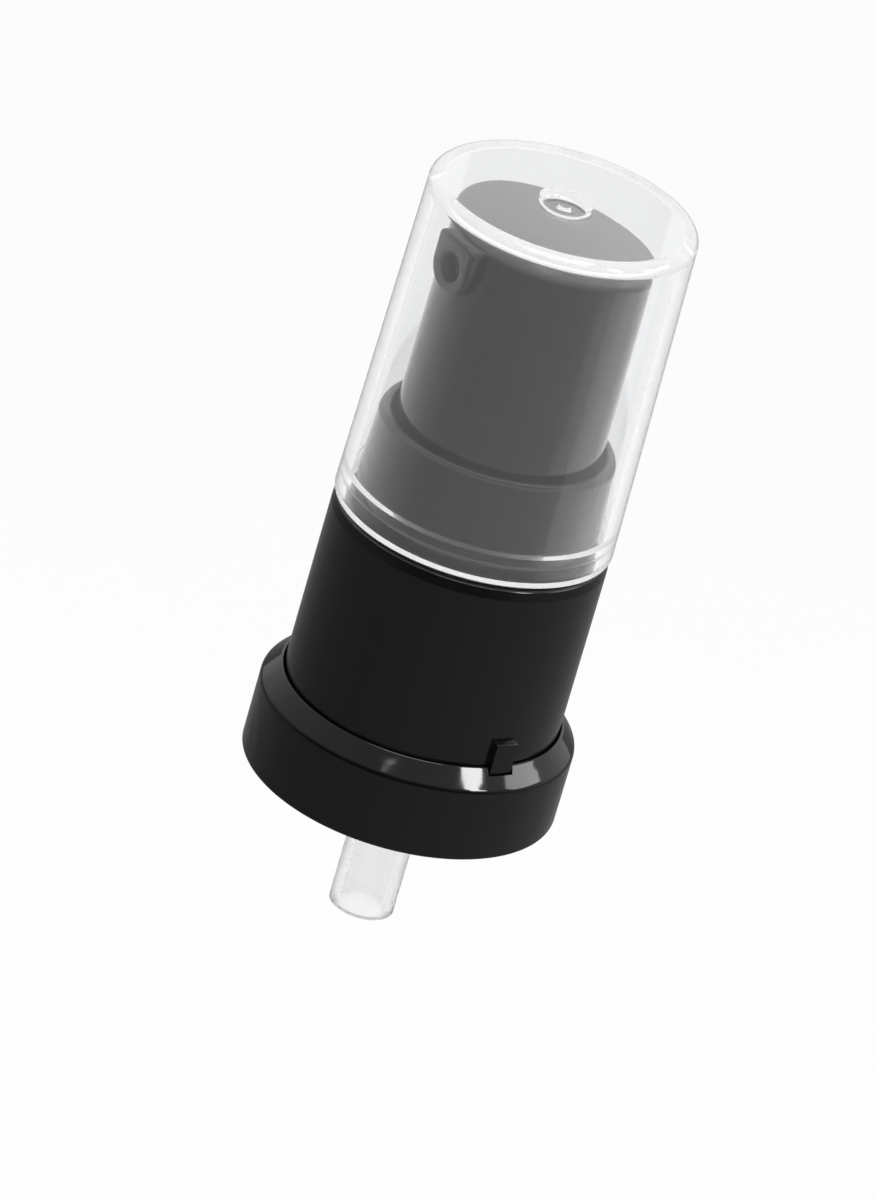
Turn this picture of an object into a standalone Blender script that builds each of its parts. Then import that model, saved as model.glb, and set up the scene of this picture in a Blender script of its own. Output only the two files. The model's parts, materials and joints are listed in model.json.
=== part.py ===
"""Treatment pump closure with a clear overcap, for a 20 mm screw neck.

Lengths are in metres. The origin is on the pump's axis, in the plane where the rim of a
bottle neck meets the gasket. +Z runs up to the overcap and the nozzle points along -Y.
"""
import math

import bmesh
import bpy
from mathutils import Matrix, Vector

# Bottle neck that the closure screws on
NECK_RADIUS = 0.0100
NECK_HEIGHT = 0.0140
THREAD_GAP = 0.0002

# Gaps between pieces: face to face, running, and in a pressed joint
SEAT_GAP = 0.0003
RUN_GAP = 0.00015
OVERRUN = 0.0005

# Gasket and the pump flange above it
GASKET_THICKNESS = 0.0010
GASKET_MARGIN = 0.0009
FLANGE_THICKNESS = 0.0012

# Pump housing
CHAMBER_RADIUS = 0.0035
CHAMBER_DEPTH = 0.0088
HOUSING_WALL = 0.0010
HOUSING_COLLAR_WALL = 0.0014
HOUSING_TOP = 0.0080
HOUSING_BEAD = 0.0003
HOUSING_BEAD_DROP = 0.0017
HOUSING_BEAD_HEIGHT = 0.0008
TAIL_WALL = 0.0007
TAIL_LENGTH = 0.0042
TAIL_ROOF = 0.0008
HOUSING_TAPER = 0.0008
VENT_RADIUS = 0.0004
VENT_DROP = 0.0014

# Inlet ball, its seat and the ribs that keep it in
BALL_RADIUS = 0.0016
BALL_LIFT = 0.0010
BALL_CAGE_GAP = 0.0005
INLET_RADIUS = 0.0009
RIB_WIDTH = 0.0007
RIB_REACH = 0.0006
RIB_HEIGHT = 0.0005
RIB_DROP = 0.0002
RIB_COUNT = 3

# Dip tube
TUBE_RADIUS = 0.00286
TUBE_WALL = 0.0008
TUBE_LENGTH = 0.0120

# Chaplet
CHAPLET_PLATE = 0.0012
CHAPLET_WALL = 0.0010
CHAPLET_GUIDE_WALL = 0.0009
CHAPLET_GUIDE_RISE = 0.0010
CHAPLET_ROUND = 0.0003

# Stem, piston, rod and spring
STEM_RADIUS = 0.0022
STEM_BORE_RADIUS = 0.00135
STEM_RISE = 0.0150
SHOULDER_THICKNESS = 0.0010
PORT_WIDTH = 0.0010
PORT_HEIGHT = 0.0018
PISTON_HEIGHT = 0.0036
PISTON_FLOAT = 0.0008
PISTON_LIP = 0.0004
PISTON_LIP_HEIGHT = 0.0008
ROD_FLANGE_THICKNESS = 0.0010
ROD_PIN_LENGTH = 0.0040
ROD_TAIL_RADIUS = 0.0013
ROD_TAIL_LENGTH = 0.0032
SPRING_WIRE_RADIUS = 0.00028
SPRING_RADIUS = 0.0026
SPRING_END_PITCH = 0.0010
SPRING_TURNS = 6
SPRING_POINTS_PER_TURN = 10
PRESS_STROKE = 0.0042

# Threaded closure
CLOSURE_WALL = 0.0010
CLOSURE_DECK = 0.0012
CLOSURE_LIFT = 0.0013
CLOSURE_ROUND = 0.0004

# Base ring
BASE_RING_WALL = 0.00145
BASE_RING_WALL_HEIGHT = 0.0067
BASE_RING_RISE = 0.0017
BASE_RING_LIP = 0.00025
BASE_RING_ROUND = 0.0003
BASE_RING_SHOULDER_ROUND = 0.0008
BASE_RING_LEDGE = 0.0006
BASE_RING_LEDGE_GAP = 0.0006

# Collar sleeve and its locating lugs
SLEEVE_RISE = 0.0072
SLEEVE_WALL = 0.00075
SLEEVE_CLEARANCE = 0.0002
SLEEVE_DRAFT = 0.00005
SLEEVE_BEVEL = 0.0002
SLEEVE_BEVEL_HEIGHT = 0.0009
SLEEVE_LIP = 0.0012
SLEEVE_ROUND = 0.0002
LUG_WIDTH = 0.0021
LUG_PROUD = 0.0006
LUG_RISE = 0.0023
LUG_SINK = 0.0010
LUG_ROUND = 0.00015

# Guide ring that the head dips into and the overcap snaps over
GUIDE_SKIRT_RISE = 0.0028
GUIDE_SKIRT_HEIGHT = 0.0065
GUIDE_FLARE = 0.0003
GUIDE_UNDERCUT = 0.0005
GUIDE_WALL = 0.0009
GUIDE_FLANGE_THICKNESS = 0.0012
GUIDE_UNDERCUT_SLOPE = 0.0003
GUIDE_ROUND = 0.00025

# Actuator head
HEAD_CLEARANCE = 0.0004
HEAD_HEIGHT = 0.0218
ACTUATOR_DRAFT = 0.0002
ACTUATOR_WALL = 0.0010
ACTUATOR_OVERLAP = 0.0035
ACTUATOR_DECK = 0.0012
ACTUATOR_ROUND = 0.0005
CROWN_FORWARD = 0.0071
CROWN_RADIUS = 0.0830
SOCKET_WALL = 0.00075

# Nozzle boss and its insert
NOZZLE_REACH = 0.00095
NOZZLE_DROP = 0.0027
NOZZLE_HALF_WIDTH = 0.00245
NOZZLE_ROUND = 0.0003
NOZZLE_STEP = 0.0002
NOZZLE_BORE_RADIUS = 0.0013
NOZZLE_BORE_DEPTH = 0.0034
CHANNEL_RADIUS = 0.0009
CHANNEL_WALL = 0.0009
INSERT_RECESS = 0.0007
INSERT_LENGTH = 0.0024
INSERT_DISH_RADIUS = 0.0008
INSERT_DISH_DEPTH = 0.0004
ORIFICE_RADIUS = 0.00045

# Overcap
OVERCAP_OVERHANG = 0.0001
OVERCAP_DRAFT = 0.00062
OVERCAP_HEADROOM = 0.0020
OVERCAP_WALL = 0.0011
OVERCAP_FOOT_ROUND = 0.0002
OVERCAP_FOOT_BEVEL = 0.0003
OVERCAP_RIM_ROUND = 0.00105
OVERCAP_PANEL = 0.0011
OVERCAP_INNER_ROUND = 0.0008
SNAP_BEAD_REACH = 0.0002
SNAP_BEAD_HEIGHT = 0.0007
GATE_TOP_RADIUS = 0.00223
GATE_FLOOR_RADIUS = 0.00206
GATE_DEPTH = 0.0008
GATE_FLOOR = 0.0008
GATE_FLOOR_ROUND = 0.0005
GATE_BOSS_SPREAD = 0.0001
GATE_NUB_RADIUS = 0.00058
GATE_NUB_HEIGHT = 0.0003

# Facets and turns
OUTER_SEGMENTS = 56
MIDDLE_SEGMENTS = 36
SMALL_SEGMENTS = 24
TINY_SEGMENTS = 12
ARC_STEPS = 2
OVERCAP_ARC_STEPS = 3
U_STEPS = 12
SHARP_ANGLE = math.radians(30)
CROWN_RING_SHARES = (0.35, 0.7, 1.0)
RIB_TURN_SHARE = 0.25

# Heights and radii that follow from the sizes above
BASE_PLANE = -NECK_HEIGHT
FLANGE_FOOT = GASKET_THICKNESS + SEAT_GAP
FLANGE_TOP = FLANGE_FOOT + FLANGE_THICKNESS
DECK_FOOT = FLANGE_TOP + SEAT_GAP
DECK_TOP = DECK_FOOT + CLOSURE_DECK
CLOSURE_BORE_RADIUS = NECK_RADIUS + THREAD_GAP
CLOSURE_RADIUS = CLOSURE_BORE_RADIUS + CLOSURE_WALL
FLANGE_RADIUS = CLOSURE_BORE_RADIUS - SEAT_GAP
HOUSING_RADIUS = CHAMBER_RADIUS + HOUSING_WALL
HOUSING_COLLAR_RADIUS = CHAMBER_RADIUS + HOUSING_COLLAR_WALL
TAIL_BORE_RADIUS = TUBE_RADIUS + RUN_GAP
TAIL_RADIUS = TAIL_BORE_RADIUS + TAIL_WALL
BALL_BORE_RADIUS = BALL_RADIUS + BALL_CAGE_GAP
LEDGE = -CHAMBER_DEPTH
BALL_CONE_RISE = BALL_BORE_RADIUS - INLET_RADIUS
BALL_SEAT_RISE = (BALL_RADIUS + SEAT_GAP) * math.sqrt(2) - INLET_RADIUS
RIB_TOP = LEDGE - RIB_DROP
RIB_FOOT = RIB_TOP - RIB_HEIGHT
INLET_TOP = RIB_FOOT - BALL_LIFT - BALL_RADIUS - BALL_SEAT_RISE
BALL_CENTRE = INLET_TOP + BALL_SEAT_RISE
TAIL_ROOF_FOOT = INLET_TOP - TAIL_ROOF
TAIL_FOOT = TAIL_ROOF_FOOT - TAIL_LENGTH
TUBE_TOP = TAIL_ROOF_FOOT - SEAT_GAP
TUBE_FOOT = TUBE_TOP - TUBE_LENGTH
PLATE_FOOT = HOUSING_TOP + SEAT_GAP
PLATE_TOP = PLATE_FOOT + CHAPLET_PLATE
CHAPLET_TOP = PLATE_TOP + CHAPLET_GUIDE_RISE
CHAPLET_BORE_RADIUS = HOUSING_COLLAR_RADIUS + HOUSING_BEAD + SEAT_GAP
CHAPLET_RADIUS = CHAPLET_BORE_RADIUS + CHAPLET_WALL
CHAPLET_FOOT = FLANGE_TOP + SEAT_GAP
GUIDE_HOLE_RADIUS = STEM_RADIUS + RUN_GAP
HOUSING_BEAD_TOP = HOUSING_TOP - HOUSING_BEAD_DROP
HOUSING_BEAD_FOOT = HOUSING_BEAD_TOP - HOUSING_BEAD_HEIGHT
SHOULDER_RADIUS = CHAMBER_RADIUS - SEAT_GAP
SHOULDER_FOOT = HOUSING_TOP - SHOULDER_THICKNESS
PISTON_TOP = SHOULDER_FOOT - SEAT_GAP - PISTON_FLOAT
PISTON_FOOT = PISTON_TOP - PISTON_HEIGHT
STEM_FOOT = PISTON_FOOT
STEM_TOP = CHAPLET_TOP + STEM_RISE
ROD_FLANGE_TOP = STEM_FOOT - SEAT_GAP
ROD_FLANGE_FOOT = ROD_FLANGE_TOP - ROD_FLANGE_THICKNESS
SPRING_TOP = ROD_FLANGE_FOOT - SEAT_GAP
SPRING_FOOT = LEDGE + SEAT_GAP
SOCKET_FOOT = CHAPLET_TOP + PRESS_STROKE + SEAT_GAP
SLEEVE_FOOT_RADIUS = CLOSURE_RADIUS + SLEEVE_CLEARANCE + SLEEVE_WALL
SLEEVE_TOP_RADIUS = SLEEVE_FOOT_RADIUS - SLEEVE_DRAFT
SLEEVE_FOOT = BASE_PLANE + BASE_RING_LEDGE + SEAT_GAP
SLEEVE_TOP = DECK_TOP + SLEEVE_RISE
BASE_RING_BORE_RADIUS = SLEEVE_FOOT_RADIUS + SEAT_GAP
BASE_RING_RADIUS = BASE_RING_BORE_RADIUS + BASE_RING_WALL
BASE_RING_TOP = BASE_PLANE + BASE_RING_WALL_HEIGHT + BASE_RING_RISE
OVERCAP_FOOT_RADIUS = SLEEVE_TOP_RADIUS + OVERCAP_OVERHANG
OVERCAP_TOP_RADIUS = OVERCAP_FOOT_RADIUS - OVERCAP_DRAFT
OVERCAP_INNER_RADIUS = OVERCAP_FOOT_RADIUS - OVERCAP_WALL
SNAP_BEAD_RADIUS = OVERCAP_INNER_RADIUS - SNAP_BEAD_REACH
GUIDE_SKIRT_RADIUS = SNAP_BEAD_RADIUS - SEAT_GAP
GUIDE_TOP_RADIUS = GUIDE_SKIRT_RADIUS - GUIDE_FLARE
GUIDE_NECK_RADIUS = GUIDE_SKIRT_RADIUS - GUIDE_UNDERCUT
GUIDE_BORE_RADIUS = GUIDE_TOP_RADIUS - GUIDE_WALL
GUIDE_FLANGE_RADIUS = SLEEVE_TOP_RADIUS - SLEEVE_WALL - SEAT_GAP
GUIDE_FOOT = DECK_TOP + SEAT_GAP
GUIDE_SKIRT_FOOT = SLEEVE_TOP + GUIDE_SKIRT_RISE
GUIDE_TOP = GUIDE_SKIRT_FOOT + GUIDE_SKIRT_HEIGHT
SLEEVE_LIP_RADIUS = GUIDE_NECK_RADIUS + SEAT_GAP
ACTUATOR_FOOT_RADIUS = GUIDE_BORE_RADIUS - HEAD_CLEARANCE
ACTUATOR_TOP_RADIUS = ACTUATOR_FOOT_RADIUS - ACTUATOR_DRAFT
ACTUATOR_FOOT = GUIDE_TOP - ACTUATOR_OVERLAP
CROWN_PEAK = ACTUATOR_FOOT + HEAD_HEIGHT
NOZZLE_FACE = ACTUATOR_TOP_RADIUS + NOZZLE_REACH
NOZZLE_HEIGHT = CROWN_PEAK - NOZZLE_DROP
OVERCAP_FOOT = SLEEVE_TOP + SEAT_GAP
OVERCAP_TOP = CROWN_PEAK + OVERCAP_HEADROOM + OVERCAP_PANEL
SNAP_BEAD_TOP = GUIDE_SKIRT_FOOT - SEAT_GAP
NOZZLE_AXIS = Vector((0, -1, 0))


def clear_scene():
    """Remove what the scene holds, so that the model starts empty."""
    for item in list(bpy.data.objects):
        bpy.data.objects.remove(item, do_unlink=True)


def finish(name, colour, roughness, metallic=0.0, transmission=0.0):
    """Principled material with one colour, as (red, green, blue) shares."""
    surface = bpy.data.materials.new(name)
    surface.use_nodes = True
    shader = surface.node_tree.nodes["Principled BSDF"]
    shader.inputs["Base Color"].default_value = (*colour, 1)
    shader.inputs["Roughness"].default_value = roughness
    shader.inputs["Metallic"].default_value = metallic
    shader.inputs["Transmission Weight"].default_value = transmission
    surface.diffuse_color = (*colour, 1)
    return surface


def add_object(name, mesh, surface=None):
    """Put a finished bmesh into the scene as a named, smoothly shaded object."""
    data = bpy.data.meshes.new(name)
    bmesh.ops.recalc_face_normals(mesh, faces=mesh.faces)
    mesh.to_mesh(data)
    mesh.free()
    data.shade_smooth()
    data.set_sharp_from_angle(angle=SHARP_ANGLE)
    item = bpy.data.objects.new(name, data)
    bpy.context.scene.collection.objects.link(item)
    if surface:
        data.materials.append(surface)
    return item


def as_tool(item):
    """Mark an object as a Boolean's helper, which is no piece of the model."""
    item.hide_render = True
    item.display_type = "WIRE"
    return item


def combine(body, helper, operation):
    """Join a helper to a body, or cut it away, with an exact Boolean."""
    step = body.modifiers.new(helper.name, "BOOLEAN")
    step.object = as_tool(helper)
    step.operation = operation
    step.solver = "EXACT"


def rounded(corners, steps=ARC_STEPS):
    """Outline through corners (radius, height, fillet); each fillet becomes an arc."""
    outline = []
    for index, (radius, height, fillet) in enumerate(corners):
        corner = Vector((radius, height))
        if not fillet:
            outline.append(corner)
            continue
        back = (Vector(corners[index - 1][:2]) - corner).normalized()
        ahead = (Vector(corners[(index + 1) % len(corners)][:2]) - corner).normalized()
        half = back.angle(ahead) / 2
        centre = corner + (back + ahead).normalized() * fillet / math.sin(half)
        first = corner + back * fillet / math.tan(half) - centre
        last = corner + ahead * fillet / math.tan(half) - centre
        turn = math.atan2(first.cross(last), first.dot(last))
        for step in range(steps + 1):
            outline.append(centre + Matrix.Rotation(turn * step / steps, 2) @ first)
    return outline


def ring(radius, height, segments):
    """Points of a circle round the axis, or the one point on the axis."""
    if not radius:
        return [Vector((0, 0, height))]
    angles = [math.tau * step / segments for step in range(segments)]
    return [Vector((radius * math.cos(a), radius * math.sin(a), height)) for a in angles]


def skin(rings, closed):
    """Mesh that bridges each ring of points to the next; a ring of one point is a pole."""
    mesh = bmesh.new()
    loops = [[mesh.verts.new(point) for point in points] for points in rings]
    count = max(len(loop) for loop in loops)
    followers = loops[1:] + loops[:1] if closed else loops[1:]
    for loop, other in zip(loops, followers):
        for step in range(count):
            near, far = step, step + 1
            corners = [loop[near % len(loop)], loop[far % len(loop)],
                       other[far % len(other)], other[near % len(other)]]
            mesh.faces.new(list(dict.fromkeys(corners)))
    return mesh


def turned(name, outline, segments, surface=None):
    """Turn an outline round the axis; one that starts off the axis closes on itself."""
    rings = [ring(radius, height, segments) for radius, height in outline]
    return add_object(name, skin(rings, closed=len(rings[0]) > 1), surface)


def rod(name, radius, start, end, segments):
    """Plain cylinder on the axis between two heights."""
    return turned(name, [(0, start), (radius, start), (radius, end), (0, end)], segments)


def extruded(name, outline, direction, surface=None):
    """Close an outline of 3D points with a face and push it along a direction."""
    mesh = bmesh.new()
    face = mesh.faces.new([mesh.verts.new(point) for point in outline])
    pushed = bmesh.ops.extrude_face_region(mesh, geom=[face])
    moved = [item for item in pushed["geom"] if isinstance(item, bmesh.types.BMVert)]
    bmesh.ops.translate(mesh, verts=moved, vec=direction)
    return add_object(name, mesh, surface)


def block(name, low, high):
    """Box between two opposite corners."""
    base = [Vector((x, y, low[2])) for x, y in
            ((low[0], low[1]), (high[0], low[1]), (high[0], high[1]), (low[0], high[1]))]
    return extruded(name, base, Vector((0, 0, high[2] - low[2])))


def soften(item, width, segments=2):
    """Round an object's sharp edges with a Bevel modifier."""
    edge = item.modifiers.new("edges", "BEVEL")
    edge.width = width
    edge.segments = segments
    edge.limit_method = "ANGLE"


def turn_to_nozzle(item, height):
    """Lay a piece turned about Z along the nozzle's axis, its top at the front."""
    item.rotation_euler = NOZZLE_AXIS.to_track_quat("Z", "Y").to_euler()
    item.location = (0, 0, height)


def build_gasket():
    """Washer that seals the flange on the rim of the neck."""
    bore = HOUSING_RADIUS + SEAT_GAP
    edge = CLOSURE_BORE_RADIUS - GASKET_MARGIN
    corners = [(bore, 0, 0), (edge, 0, 0), (edge, GASKET_THICKNESS, 0), (bore, GASKET_THICKNESS, 0)]
    return turned("gasket", rounded(corners), MIDDLE_SEGMENTS, finish("white_foam", (0.86, 0.86, 0.84), 0.8))


def build_housing():
    """Pump body: collar with a snap bead, flange, chamber, ball seat and tube socket."""
    slope = HOUSING_BEAD
    corners = [
        (TAIL_BORE_RADIUS, TAIL_FOOT, 0),
        (TAIL_RADIUS, TAIL_FOOT, 0),
        (TAIL_RADIUS, INLET_TOP, 0),
        (HOUSING_RADIUS, INLET_TOP + HOUSING_TAPER, 0),
        (HOUSING_RADIUS, FLANGE_FOOT, 0),
        (FLANGE_RADIUS, FLANGE_FOOT, 0),
        (FLANGE_RADIUS, FLANGE_TOP, 0),
        (HOUSING_COLLAR_RADIUS, FLANGE_TOP, 0),
        (HOUSING_COLLAR_RADIUS, HOUSING_BEAD_FOOT, 0),
        (HOUSING_COLLAR_RADIUS + HOUSING_BEAD, HOUSING_BEAD_FOOT + slope, 0),
        (HOUSING_COLLAR_RADIUS + HOUSING_BEAD, HOUSING_BEAD_TOP - slope, 0),
        (HOUSING_COLLAR_RADIUS, HOUSING_BEAD_TOP, 0),
        (HOUSING_COLLAR_RADIUS, HOUSING_TOP, 0),
        (CHAMBER_RADIUS, HOUSING_TOP, 0),
        (CHAMBER_RADIUS, LEDGE, 0),
        (BALL_BORE_RADIUS, LEDGE, 0),
        (BALL_BORE_RADIUS, INLET_TOP + BALL_CONE_RISE, 0),
        (INLET_RADIUS, INLET_TOP, 0),
        (INLET_RADIUS, TAIL_ROOF_FOOT, 0),
        (TAIL_BORE_RADIUS, TAIL_ROOF_FOOT, 0),
    ]
    surface = finish("natural_polypropylene", (0.80, 0.81, 0.80), 0.35)
    body = turned("housing", rounded(corners), MIDDLE_SEGMENTS, surface)
    for index in range(RIB_COUNT):
        inner = BALL_BORE_RADIUS - RIB_REACH
        rib = block(f"ball_rib_{index}", (inner, -RIB_WIDTH / 2, RIB_FOOT),
                    (BALL_BORE_RADIUS + RIB_REACH, RIB_WIDTH / 2, RIB_TOP))
        rib.rotation_euler.z = math.tau * (index + RIB_TURN_SHARE) / RIB_COUNT
        combine(body, rib, "UNION")
    vent = rod("vent", VENT_RADIUS, CHAMBER_RADIUS - OVERRUN, HOUSING_RADIUS + OVERRUN, TINY_SEGMENTS)
    turn_to_nozzle(vent, -VENT_DROP)
    combine(body, vent, "DIFFERENCE")
    return body


def build_inlet_ball():
    """Steel check ball, resting on its seat."""
    mesh = bmesh.new()
    bmesh.ops.create_uvsphere(mesh, u_segments=TINY_SEGMENTS, v_segments=TINY_SEGMENTS, radius=BALL_RADIUS)
    ball = add_object("inlet_ball", mesh, finish("ball_steel", (0.62, 0.62, 0.63), 0.2, metallic=1.0))
    ball.location = (0, 0, BALL_CENTRE)
    return ball


def build_dip_tube():
    """Natural tube, cut square at both ends, pushed up into the housing's tail."""
    bore = TUBE_RADIUS - TUBE_WALL
    corners = [
        (bore, TUBE_FOOT, 0),
        (TUBE_RADIUS, TUBE_FOOT, 0),
        (TUBE_RADIUS, TUBE_TOP, 0),
        (bore, TUBE_TOP, 0),
    ]
    surface = finish("natural_polyethylene", (0.78, 0.79, 0.80), 0.4, transmission=0.3)
    return turned("dip_tube", rounded(corners), MIDDLE_SEGMENTS, surface)


def build_chaplet():
    """Cover that snaps under the housing's bead and guides the stem."""
    catch = HOUSING_COLLAR_RADIUS + RUN_GAP
    catch_top = HOUSING_BEAD_FOOT - SEAT_GAP
    slope = CHAPLET_BORE_RADIUS - catch
    guide = GUIDE_HOLE_RADIUS + CHAPLET_GUIDE_WALL
    corners = [
        (CHAPLET_BORE_RADIUS, CHAPLET_FOOT, 0),
        (CHAPLET_RADIUS, CHAPLET_FOOT, 0),
        (CHAPLET_RADIUS, PLATE_TOP, CHAPLET_ROUND),
        (guide, PLATE_TOP, 0),
        (guide, CHAPLET_TOP, 0),
        (GUIDE_HOLE_RADIUS, CHAPLET_TOP, 0),
        (GUIDE_HOLE_RADIUS, PLATE_FOOT, 0),
        (CHAPLET_BORE_RADIUS, PLATE_FOOT, 0),
        (CHAPLET_BORE_RADIUS, catch_top + slope, 0),
        (catch, catch_top, 0),
        (catch, catch_top - slope, 0),
        (CHAPLET_BORE_RADIUS, catch_top - slope - slope, 0),
    ]
    surface = finish("natural_polypropylene_cover", (0.82, 0.83, 0.82), 0.35)
    return turned("chaplet", rounded(corners), MIDDLE_SEGMENTS, surface)


def build_stem():
    """Hollow stem with a stop shoulder, and two ports at its foot inside the piston."""
    corners = [
        (STEM_BORE_RADIUS, STEM_FOOT, 0),
        (STEM_RADIUS, STEM_FOOT, 0),
        (STEM_RADIUS, SHOULDER_FOOT, 0),
        (SHOULDER_RADIUS, SHOULDER_FOOT, 0),
        (SHOULDER_RADIUS, HOUSING_TOP, 0),
        (STEM_RADIUS, HOUSING_TOP, 0),
        (STEM_RADIUS, STEM_TOP, 0),
        (STEM_BORE_RADIUS, STEM_TOP, 0),
    ]
    surface = finish("natural_stem", (0.82, 0.83, 0.83), 0.3)
    stem = turned("stem", rounded(corners), SMALL_SEGMENTS, surface)
    reach = STEM_RADIUS + OVERRUN
    port = block("ports", (-reach, -PORT_WIDTH / 2, STEM_FOOT - OVERRUN),
                 (reach, PORT_WIDTH / 2, STEM_FOOT + PORT_HEIGHT))
    combine(stem, port, "DIFFERENCE")
    return stem


def build_piston():
    """Soft sliding seal: a sleeve round the stem with a lip at each end."""
    bore = STEM_RADIUS + RUN_GAP
    lip = CHAMBER_RADIUS - RUN_GAP
    waist = lip - PISTON_LIP
    corners = [
        (bore, PISTON_FOOT, 0),
        (lip - PISTON_LIP / 2, PISTON_FOOT, 0),
        (lip, PISTON_FOOT + PISTON_LIP / 2, 0),
        (waist, PISTON_FOOT + PISTON_LIP_HEIGHT, 0),
        (waist, PISTON_TOP - PISTON_LIP_HEIGHT, 0),
        (lip, PISTON_TOP - PISTON_LIP / 2, 0),
        (lip - PISTON_LIP / 2, PISTON_TOP, 0),
        (bore, PISTON_TOP, 0),
    ]
    surface = finish("soft_polyethylene", (0.84, 0.84, 0.82), 0.45)
    return turned("piston", rounded(corners), SMALL_SEGMENTS, surface)


def build_piston_rod():
    """Poppet: a pin up into the stem, the flange that closes the piston, and a tail."""
    pin = STEM_BORE_RADIUS - RUN_GAP
    flange = SPRING_RADIUS + SPRING_WIRE_RADIUS
    tip = ROD_TAIL_RADIUS / 2
    corners = [
        (0, ROD_FLANGE_FOOT - ROD_TAIL_LENGTH, 0),
        (ROD_TAIL_RADIUS - tip, ROD_FLANGE_FOOT - ROD_TAIL_LENGTH, 0),
        (ROD_TAIL_RADIUS, ROD_FLANGE_FOOT - ROD_TAIL_LENGTH + tip, 0),
        (ROD_TAIL_RADIUS, ROD_FLANGE_FOOT, 0),
        (flange, ROD_FLANGE_FOOT, 0),
        (flange, ROD_FLANGE_TOP, 0),
        (pin, ROD_FLANGE_TOP, 0),
        (pin, ROD_FLANGE_TOP + ROD_PIN_LENGTH, 0),
        (0, ROD_FLANGE_TOP + ROD_PIN_LENGTH, 0),
    ]
    surface = finish("rod_polypropylene", (0.80, 0.81, 0.82), 0.3)
    return turned("piston_rod", rounded(corners), SMALL_SEGMENTS, surface)


def spring_centre_line():
    """Points of the spring's wire: close end turns, open middle turns, straight ends."""
    low = SPRING_FOOT + SPRING_WIRE_RADIUS
    rise = SPRING_TOP - SPRING_WIRE_RADIUS - low
    open_pitch = (rise - SPRING_END_PITCH - SPRING_END_PITCH) / (SPRING_TURNS - 2)
    points = []
    for step in range(SPRING_TURNS * SPRING_POINTS_PER_TURN + 1):
        turn = step / SPRING_POINTS_PER_TURN
        climbed = (min(turn, 1) + max(turn - SPRING_TURNS + 1, 0)) * SPRING_END_PITCH
        climbed += min(max(turn - 1, 0), SPRING_TURNS - 2) * open_pitch
        around = Matrix.Rotation(math.tau * turn, 3, "Z")
        points.append(around @ Vector((SPRING_RADIUS, 0, low + climbed)))
    wire = SPRING_WIRE_RADIUS * 2
    first_way = Vector((0, -1, 0))
    points.insert(0, points[0] + first_way * wire)
    points.append(points[-1] - first_way * wire)
    return points


def least_gap(points, thickness, spacing):
    """Least gap between stretches of a tube that lie at least some points apart."""
    return min((points[a] - points[b]).length - thickness
               for a in range(len(points)) for b in range(a + spacing, len(points)))


def build_return_spring():
    """Helical spring as one unbroken round wire."""
    points = spring_centre_line()
    curve = bpy.data.curves.new("return_spring", "CURVE")
    curve.dimensions = "3D"
    curve.bevel_depth = SPRING_WIRE_RADIUS
    curve.bevel_resolution = 1
    curve.use_fill_caps = True
    line = curve.splines.new("POLY")
    line.points.add(len(points) - 1)
    for place, point in zip(line.points, points):
        place.co = (*point, 1)
    curve.materials.append(finish("spring_steel", (0.56, 0.56, 0.57), 0.28, metallic=1.0))
    spring = bpy.data.objects.new("return_spring", curve)
    bpy.context.scene.collection.objects.link(spring)
    gap = least_gap(points, SPRING_WIRE_RADIUS * 2, SPRING_POINTS_PER_TURN // 2)
    print(f"return_spring: least gap to itself {gap:.6f} m")
    return spring


def build_threaded_closure():
    """Nut round the neck, whose deck clamps the pump's flange on the gasket."""
    hole = CHAPLET_RADIUS + SEAT_GAP
    foot = BASE_PLANE + CLOSURE_LIFT
    corners = [
        (CLOSURE_BORE_RADIUS, foot, 0),
        (CLOSURE_RADIUS, foot, 0),
        (CLOSURE_RADIUS, DECK_TOP, CLOSURE_ROUND),
        (hole, DECK_TOP, 0),
        (hole, DECK_FOOT, 0),
        (CLOSURE_BORE_RADIUS, DECK_FOOT, 0),
    ]
    surface = finish("black_closure", (0.012, 0.012, 0.013), 0.3)
    return turned("threaded_closure", rounded(corners), OUTER_SEGMENTS, surface)


def build_base_ring():
    """Wide bottom ring with a sloped top, a ledge under the sleeve and two notches."""
    corners = [
        (CLOSURE_RADIUS - BASE_RING_LEDGE_GAP, BASE_PLANE, 0),
        (BASE_RING_RADIUS, BASE_PLANE, BASE_RING_ROUND),
        (BASE_RING_RADIUS, BASE_PLANE + BASE_RING_WALL_HEIGHT, BASE_RING_SHOULDER_ROUND),
        (BASE_RING_BORE_RADIUS + BASE_RING_LIP, BASE_RING_TOP, 0),
        (BASE_RING_BORE_RADIUS, BASE_RING_TOP, 0),
        (BASE_RING_BORE_RADIUS, BASE_PLANE + BASE_RING_LEDGE, 0),
        (CLOSURE_RADIUS - BASE_RING_LEDGE_GAP, BASE_PLANE + BASE_RING_LEDGE, 0),
    ]
    surface = finish("black_base", (0.010, 0.010, 0.011), 0.12)
    base = turned("base_ring", rounded(corners), OUTER_SEGMENTS, surface)
    half = LUG_WIDTH / 2 + SEAT_GAP
    for index, side in enumerate((-1, 1)):
        inner = side * (SLEEVE_FOOT_RADIUS - OVERRUN)
        outer = side * (SLEEVE_FOOT_RADIUS + LUG_PROUD + SEAT_GAP)
        notch = block(f"notch_{index}", (min(inner, outer), -half, BASE_RING_TOP - LUG_SINK - SEAT_GAP),
                      (max(inner, outer), half, BASE_RING_TOP + OVERRUN))
        combine(base, notch, "DIFFERENCE")
    return base


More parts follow.
